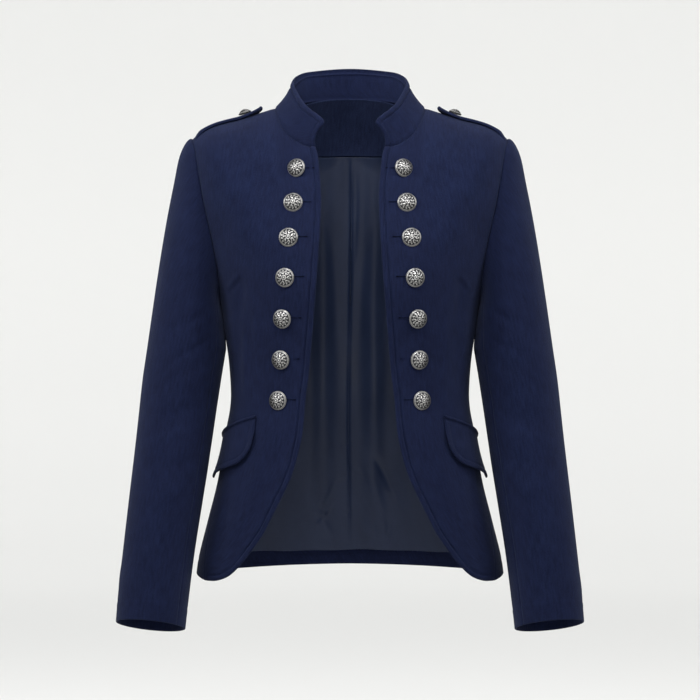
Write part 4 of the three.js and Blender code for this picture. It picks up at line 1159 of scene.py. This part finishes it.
# The fold at the foot of the lining dips and rises a little, as its fullness settles.
foot_fade = bell(lining_z - LINING["bottom"], LINING["foot_height"])
foot_wave = foot_fade * MM * sum(rise * np.sin(lining_x * pace + start)
                                 for rise, pace, start in FOOT_WAVES)
lining_base = off_body(lining_turn, lining_z, -depth)
lining_base[..., 0] *= lining_sign
lining_base[..., 2] += foot_wave
lining_out = grid_out(lining_base)
folds = creased(lining_base[..., [0, 2]], LINING_CREASES)
hold_edges = (eased((lining_base[..., 2] - LINING["bottom"]) / LINING["held_below"])
              * eased((LINING["top"] - lining_base[..., 2]) / LINING["held_above"]))
held_folds = folds * blended(LINING["held_share"], 1, hold_edges)
lining_surface = lining_base - lining_out * held_folds[..., None]
lining_rim = np.concatenate([lining_surface[:, 0], lining_surface[::-1, -1]])
lining = wall("back_lining_satin", lining_surface, grid_out(lining_surface), LINING_CLOTH,
              distance_to(lining_surface, lining_rim)[0], satin, flat_map(lining_base))
dress(lining, "lining", "back_lining", flat=(0.40, 0.50), held="hung",
      rests_on=["back_neck_facing_cloth"], area=0.178)


# Neck facing. A shaped band of a lighter weight of the twill inside the back of the neck,
# 1.2 mm thick, sewn to the collar above and to the lining below. Its twill is coloured about
# twice as light as the fronts': painted light, as the lamps reach the inside of the neck little.
NECK_FACING = {"half_width": 84 * MM, "depth": (4.8 * MM, 3.4 * MM), "cloth": 1.2 * MM,
               "above": 3.6 * MM, "drop": 9 * MM, "columns": 73}
facing_across = np.linspace(1, -1, NECK_FACING["columns"])[:, None]
facing_share = np.abs(facing_across)
facing_x = NECK_FACING["half_width"] * facing_share
facing_top = (BACK_NECK_Z * (1 - facing_share**2) + NECK_FACING["above"]
              - NECK_FACING["drop"] * facing_share**4)
facing_v = steps([0, 0.006, 0.015], (0.03, 0.97, 30), [0.985, 0.994, 1])
facing_z = blended(LINING["top"] + LINING["gap"], facing_top, facing_v[None])
facing_points = off_body(turn_at(facing_x + 0 * facing_z, facing_z, False), facing_z,
                         -blended(*NECK_FACING["depth"], facing_v[None]) + 0 * facing_z)
facing_points[..., 0] *= np.where(facing_across < 0, -1.0, 1.0)
facing_rim = np.concatenate([facing_points[:, 0], facing_points[::-1, -1]])
# Painted light: the navy twill in lighter colours, for the dimly lit inside of the neck.
facing_twill_painted_light = twill_cloth("facing_twill_painted_light", (0.0030, 0.0050, 0.0160), (0.0086, 0.0132, 0.0350))
facing = wall("back_neck_facing_cloth", facing_points, grid_out(facing_points),
              NECK_FACING["cloth"], distance_to(facing_points, facing_rim)[0], facing_twill_painted_light,
              flat_map(facing_points))
dress(facing, "cloth", "back_neck_facing", flat=(0.19, 0.07), held="hung",
      rests_on=["back_panel"], area=0.0122)


# Topstitching. Navy thread of 0.5 mm in 2.6 mm stitches, lying in the groove along the front
# edges, the collar and the straps. Each stitch is a small spindle of thread.
THREAD = 0.5 * MM
STITCH = 2.6 * MM
STITCH_PITCH = 3.3 * MM
STITCH_LIFT = 0.1 * MM
STITCH_SIDES = 5
# Each ring of a stitch: its share of the length from the middle, how full it is, how deep it
# is sunk.
STITCH_RINGS = np.array([[-0.5, 0.4, -0.6], [-0.36, 1, 0], [0.36, 1, 0], [0.5, 0.4, -0.6]])
AS_IS, TURNED = slice(None), slice(None, None, -1)
FROM_THE_SEAM = 14
COLLAR_END_COLUMNS = 12
STAND_END_SHARE = 0.72
thread = Finish("navy_thread", Roughness=0.85, Specular_IOR_Level=0.04)
thread_at = thread.at()
thread.set(thread.shader, {
    "Base Color": thread.mixed(thread.noise(thread_at, 260.0), (0.0022, 0.0038, 0.0140),
                               (0.0048, 0.0076, 0.0250)),
    "Normal": thread.bump(thread.noise(thread_at, 4000.0), 0.0002, 0.6),
})


def resampled(line, others, pitch):
    """Places at an even pitch along a line, with other values read at the same places."""
    passed = np.concatenate([[0], np.cumsum(np.linalg.norm(np.diff(line, axis=0), axis=1))])
    at = np.arange(pitch / 2, passed[-1], pitch)
    return [np.stack([np.interp(at, passed, values[:, i]) for i in range(3)], -1)
            for values in (line, *others)]


def spindles(line, outward):
    """Stitches along a line: rings of five points round each stitch's own axis, thin at both
    ends and full between, with the ends sunk into the cloth."""
    slope = np.gradient(line, axis=0)
    centre, out, along = resampled(line, [outward, slope], STITCH_PITCH)
    along, out = unit(along), unit(out)
    beside = unit(np.cross(along, out))
    out = np.cross(beside, along)
    place, full, sunk = STITCH_RINGS.T[:, None, :, None, None]
    angle = (np.arange(STITCH_SIDES) * 2 * np.pi / STITCH_SIDES)[:, None]
    centre, out, along, beside = (v[:, None, None] for v in (centre, out, along, beside))
    corners = (centre + along * (place * STITCH)
               + (beside * np.cos(angle) + out * np.sin(angle)) * (full * THREAD / 2)
               + out * (sunk * THREAD + STITCH_LIFT))
    number = np.arange(corners.shape[1] * STITCH_SIDES).reshape(-1, STITCH_SIDES)
    ahead = np.roll(number, -1, 1)
    cells = np.stack([number[:-1], ahead[:-1], ahead[1:], number[1:]], -1).reshape(-1, 4)
    caps = np.array([[0, 4, 3, 2], [0, 2, 1, 1], [15, 16, 17, 18], [15, 18, 19, 19]])
    start = (np.arange(len(corners)) * number.size)[:, None, None]
    return corners.reshape(-1, 3), (cells + start).reshape(-1, 4), (caps + start).reshape(-1, 4)


def contour(surface, outward, distance, level):
    """The line on a surface where a distance that grows along its first axis reaches a level:
    between the last point below the level and the next one, in straight proportion."""
    reached = np.argmax(distance >= level, axis=0)
    reached = np.maximum(reached, 1)
    row = np.arange(surface.shape[1])
    low, high = distance[reached - 1, row], distance[reached, row]
    share = np.clip((level - low) / (high - low), 0, 1)[:, None]
    return (blended(surface[reached - 1, row], surface[reached, row], share),
            blended(outward[reached - 1, row], outward[reached, row], share))


def add_stitching(name, runs):
    """One piece with all the stitches of several runs, each a line and the way out of it."""
    corners, faces, count = [], [], 0
    for line, outward in runs:
        points, quads, ends = spindles(line, outward)
        corners.append(points)
        faces += (quads + count).tolist()
        faces += [list(dict.fromkeys(end)) for end in (ends + count).tolist()]
        count += len(points)
    dress(add_mesh(name, np.concatenate(corners), faces, thread), "cloth")


for side, order in (("left", AS_IS), ("right", TURNED)):
    line, out = contour(*(grid[order] for grid in fronts[side]), STITCH_IN)
    add_stitching(f"front_{side}_stitching", [(line[FROM_THE_SEAM:], out[FROM_THE_SEAM:])])

collar_grids = (collar_surface, collar_out, collar_from_edge)
top_line, top_out = contour(*(grid[:, ::-1].swapaxes(0, 1) for grid in collar_grids), STITCH_IN)
between_ends = slice(COLLAR_END_COLUMNS, -COLLAR_END_COLUMNS)
collar_runs = [(top_line[between_ends], top_out[between_ends])]
for order in (AS_IS, TURNED):
    line, out = contour(*(grid[order] for grid in collar_grids), STITCH_IN)
    low = collar_v < STAND_END_SHARE
    collar_runs.append((line[low], out[low]))
add_stitching("collar_stitching", collar_runs)

strap_grids = (strap_points, strap_out, strap_from_rim)
strap_runs = []
for order in (AS_IS, TURNED):
    line, out = contour(*(grid[:, order].swapaxes(0, 1) for grid in strap_grids),
                        STRAP_STITCH_IN)
    long_run = (strap_u > STRAP["stitched"][0]) & (strap_u < STRAP["stitched"][1])
    strap_runs.append((line[long_run], out[long_run]))
line, out = contour(*strap_grids, STRAP_STITCH_IN)
across_run = np.abs(strap_v) < STRAP["across"]
strap_runs.append((line[across_run], out[across_run]))
for side, sign in SIDES.items():
    mirror = np.array([sign, 1, 1])
    add_stitching(f"epaulette_{side}_stitching",
                  [(line * mirror, out * mirror) for line, out in strap_runs])


# Buttonholes. One beside each button, towards the front edge: a slit with its two lips bound
# by close loops of navy thread, and a wider eyelet at its far end. In the slit lies a near-black
# strip, the slit's painted shadow.
BUTTONS = np.array([[63.1, -79.5], [66.6, -120.8], [71.6, -162.2], [75.5, -208.8],
                    [78.6, -256.4], [80.8, -304.5], [84.1, -352.5]]) * MM
HOLE = {"from": -22.5 * MM, "to": -3 * MM, "half": 0.75 * MM, "eyelet": 0.8 * MM,
        "eyelet_at": 1.4 * MM, "eyelet_width": 1.5 * MM, "lip": 0.38 * MM,
        "above_button": 1 * MM, "slit_height": 0.12 * MM, "power": 0.35, "loop": 0.28}
HOLE_STEPS = 216
HOLE_LOOPS = 52
LIP_SIDES = 8
SLIT_COLUMNS = 30
SLIT_ROWS = np.array([-1, -0.5, 0, 0.5, 1]) * 0.9


def on_panel(x, z, height):
    """Places at a height over the front's own surface, which lies a seam's depth over the form."""
    turn = turn_at(x, z)
    return off_body(turn, z, height + SEAM["dip"] + 0 * turn)


def hole_outline(steps):
    """A long ellipse of an even power, whose end near the front edge swells into the eyelet."""
    angle = steps * 2 * np.pi
    middle, reach = (HOLE["from"] + HOLE["to"]) / 2, (HOLE["to"] - HOLE["from"]) / 2
    x = middle + reach * np.cos(angle)
    swell = HOLE["eyelet"] * bell(x - HOLE["from"] - HOLE["eyelet_at"], HOLE["eyelet_width"])
    z = np.sign(np.sin(angle)) * np.abs(np.sin(angle)) ** HOLE["power"] * (HOLE["half"] + swell)
    return x, z


# Painted shadow: the slit is a near-black strip laid 0.12 mm over the cloth.
slit_painted_shadow = Finish("hole_shadow", Base_Color=(0.0008, 0.0010, 0.0025, 1), Roughness=0.95,
                    Specular_IOR_Level=0.02)
slit_painted_shadow.set(slit_painted_shadow.shader, {"Normal": slit_painted_shadow.bump(
    slit_painted_shadow.noise(slit_painted_shadow.at(), 2500.0), 0.0003, 0.5)})
hole_steps = np.linspace(0, 1, HOLE_STEPS + 1)[:-1]
hole_x, hole_z = hole_outline(hole_steps)
ring_angle = np.arange(LIP_SIDES) * 2 * np.pi / LIP_SIDES
loop_wave = HOLE["loop"] * np.sin(hole_steps * HOLE_LOOPS * 2 * np.pi)
loops = HOLE["lip"] * (1 + loop_wave)[:, None]
width, rise = loops * np.cos(ring_angle), loops * np.sin(ring_angle)
outward_x = np.gradient(np.append(hole_z, hole_z[0]))[:-1]
outward_z = -np.gradient(np.append(hole_x, hole_x[0]))[:-1]
outward_size = np.hypot(outward_x, outward_z)
lip_x = hole_x[:, None] + (outward_x / outward_size)[:, None] * width
lip_z = hole_z[:, None] + (outward_z / outward_size)[:, None] * width
slit_x = np.linspace(HOLE["from"], HOLE["to"], SLIT_COLUMNS)[:, None] + 0 * SLIT_ROWS
slit_z = HOLE["half"] * SLIT_ROWS + 0 * slit_x
number = np.arange(lip_x.size).reshape(lip_x.shape)
ahead = np.roll(number, -1, 0)
lip_cells = np.stack([number, ahead, np.roll(ahead, -1, 1), np.roll(number, -1, 1)],
                     -1).reshape(-1, 4)
for side, sign in SIDES.items():
    for part, x, z, height, cells, finish in (
            ("buttonholes", lip_x, lip_z, rise, lip_cells, thread),
            ("buttonhole_painted_shadows", slit_x, slit_z, HOLE["slit_height"],
             grid_faces(*slit_x.shape), slit_painted_shadow)):
        corners = np.array([on_panel(at_x + x, at_z + HOLE["above_button"] + z, height)
                            for at_x, at_z in BUTTONS]) * np.array([sign, 1, 1])
        start = (np.arange(len(BUTTONS)) * x.size)[:, None, None]
        faces = (cells + start).reshape(-1, 4)[:, ::sign].tolist()
        dress(add_mesh(f"front_{side}_{part}", corners, faces, finish), "cloth")


# Buttons. Seven cast metal buttons on each front and one on each strap, domed and plated in
# antique silver: raised scrolls are rubbed bright and the ground between them is dark.
FRONT_BUTTON = {"radius": 11.25 * MM, "dome": 4.6 * MM, "rim": 1.6 * MM, "relief": 0.38 * MM}
STRAP_BUTTON = {"radius": 8 * MM, "dome": 3.8 * MM, "rim": 1.4 * MM, "relief": 0.3 * MM,
                "x": 127.5 * MM, "above": 1.4 * MM, "reach": 5 * MM}
BUTTON_HANG = 0.45
TOP_BUTTON_TURN = 0.28
TIP_SHARE = 0.45
DOME_RINGS = 58
DOME_END = 0.93
BUTTON_SIDES = 108
# The edge's rings: their shares of the radius and of the rim's height, and how bright.
BUTTON_EDGE = np.array([[0.95, 0.975, 0.995, 1, 0.99, 0.96, 0.9, 0.6, 0.03],
                        [0.96, 0.88, 0.72, 0.5, 0.28, 0.1, 0, 0, 0],
                        [0.35, 0.4, 0.35, 0.3, 0.2, 0.2, 0.2, 0.2, 0.2]])
BUTTON_UP = np.array([0, 0.2, 1.0])
BUTTON_TURNS = {"left": [0.4, 2.1, 4.4, 1.3, 5.3, 3.1, 0.9, 2.6],
                "right": [3.7, 1.0, 5.9, 2.8, 0.2, 4.9, 1.8, 5.1]}


def rosette(r, angle):
    """The raised pattern, from 0 for the ground to 1: a centre boss in a ring, seven curling
    scrolls, thirteen leaves with a bead between each two, and a rope round the rim."""
    boss = bell(r, 0.10) + bell(r - 0.22, 0.035)
    curl = angle * 7 + 9 * r
    scrolls = np.clip(np.sin(curl), 0, 1) ** 0.7 * bell(r - 0.41, 0.10)
    hooks = np.clip(np.sin(curl * 2 + 1.1 - 16 * r), 0, 1) ** 1.2 * bell(r - 0.50, 0.06) * 0.9
    leaves = np.clip(np.cos(angle * 13 + 1.5 * r), 0, 1) ** 0.8 * bell(r - 0.70, 0.085)
    veins = 0.35 * np.clip(np.cos(angle * 39 + 20 * r), 0, 1) * bell(r - 0.72, 0.08)
    beads = np.clip(np.cos(angle * 13 + np.pi), 0, 1) ** 3 * bell(r - 0.62, 0.045)
    rope = (0.65 + 0.35 * np.sin(angle * 44 + 30 * r)) * bell(r - 0.885, 0.035)
    return np.clip(boss + scrolls + hooks + leaves - veins + beads + rope, 0, 1)


def button_form(size, turned):
    """The button along its own upright axis: a dome that falls by the square of the distance
    from the middle, with the pattern raised on it, then the rim and the flat underside."""
    edge_r, edge_height, edge_bright = BUTTON_EDGE
    r = np.concatenate([np.linspace(0.012, DOME_END, DOME_RINGS), edge_r])
    angle = np.linspace(0, 2 * np.pi, BUTTON_SIDES + 1)[:-1]
    dome = size["rim"] + size["dome"] * (1 - (r[:DOME_RINGS] / DOME_END) ** 2)
    height = np.concatenate([dome, size["rim"] * edge_height])[:, None] + 0 * angle
    on_dome = (np.arange(len(r)) < DOME_RINGS)[:, None]
    pattern = rosette(r[:, None], angle[None] + turned) * on_dome
    height = height + size["relief"] * pattern
    x = size["radius"] * r[:, None] * np.cos(angle)
    y = size["radius"] * r[:, None] * np.sin(angle)
    bright = np.concatenate([pattern[:DOME_RINGS], edge_bright[:, None] + 0 * angle])
    return np.stack([x, y, height], -1), bright


silver = Finish("antique_silver", Metallic=1.0)
worn = silver.node("ShaderNodeAttribute", {"attribute_name": "relief"}, {}, "Fac")
silver_at = silver.at()
tarnish = silver.noise(silver_at, 900.0, 4.0, 0.6)
cast = silver.noise(silver_at, 3500.0, 2.0, 0.5)
shine = silver.ranged(worn * 1.1 + (tarnish - 0.5) * 0.6, 0.1, 0.85)
silver.set(silver.shader, {
    "Base Color": silver.mixed(shine, (0.016, 0.016, 0.018), (0.30, 0.296, 0.288)),
    "Roughness": 0.52 - shine * 0.24,
    "Normal": silver.bump(cast * 0.5 + tarnish * 0.5, 0.0002, 0.5),
})


def add_button(node, size, turned, place, outward, sign):
    """One button at a place, facing outward, with its pattern turned round by an angle."""
    points, bright = button_form(size, turned)
    beside = unit(np.cross(BUTTON_UP, outward))
    upward = np.cross(outward, beside)
    world_points = (place + points[..., :1] * beside + points[..., 1:2] * upward
                    + points[..., 2:] * outward) * np.array([sign, 1, 1])
    rings, around = points.shape[:2]
    number = np.arange(rings * around).reshape(rings, around)
    ahead = np.roll(number, -1, 1)
    cells = np.stack([number[:-1], number[1:], ahead[1:], ahead[:-1]], -1).reshape(-1, 4)
    # The middle of the dome and of the underside is closed by a fan from one corner each.
    top = np.stack([np.full(around - 2, 0), np.arange(1, around - 1), np.arange(2, around)], -1)
    foot = (rings - 1) * around + top[:, ::-1]
    faces = cells[:, ::sign].tolist() + top[:, ::sign].tolist() + foot[:, ::sign].tolist()
    button = add_mesh(node + "_silver", world_points, faces, silver)
    relief = button.data.attributes.new("relief", "FLOAT", "POINT")
    relief.data.foreach_set("value", bright.ravel())
    dress(button, "buttons", node)


for side, sign in SIDES.items():
    button_turn = turn_at(BUTTONS[:, 0], BUTTONS[:, 1])
    cloth_out = out_of_body(button_turn, BUTTONS[:, 1])
    # Each button hangs a little from its shank, and the top one is turned to the side.
    button_out = cloth_out * np.array([1, 1, BUTTON_HANG])
    button_out[0, 0] += TOP_BUTTON_TURN
    button_out = unit(button_out)
    tipped = np.linalg.norm(button_out - cloth_out, axis=1)
    button_at = off_body(button_turn, BUTTONS[:, 1],
                         ON_PANEL + TIP_SHARE * tipped * FRONT_BUTTON["radius"])
    for i, (place, out) in enumerate(zip(button_at, button_out)):
        add_button(f"front_button_{side}_{i + 1}", FRONT_BUTTON, BUTTON_TURNS[side][i], place,
                   out, sign)
    x, reach = STRAP_BUTTON["x"], STRAP_BUTTON["reach"]
    top = shoulder_top(np.array([x - reach, x, x + reach]), np.zeros(3))
    rise = STRAP["above"] + STRAP["cloth"] + STRAP_BUTTON["above"]
    out = unit(np.array([(top[0] - top[2]) / (2 * reach), 0, 1]))
    add_button(f"epaulette_button_{side}", STRAP_BUTTON, BUTTON_TURNS[side][-1],
               np.array([x, 0, top[1] + rise]), out, sign)
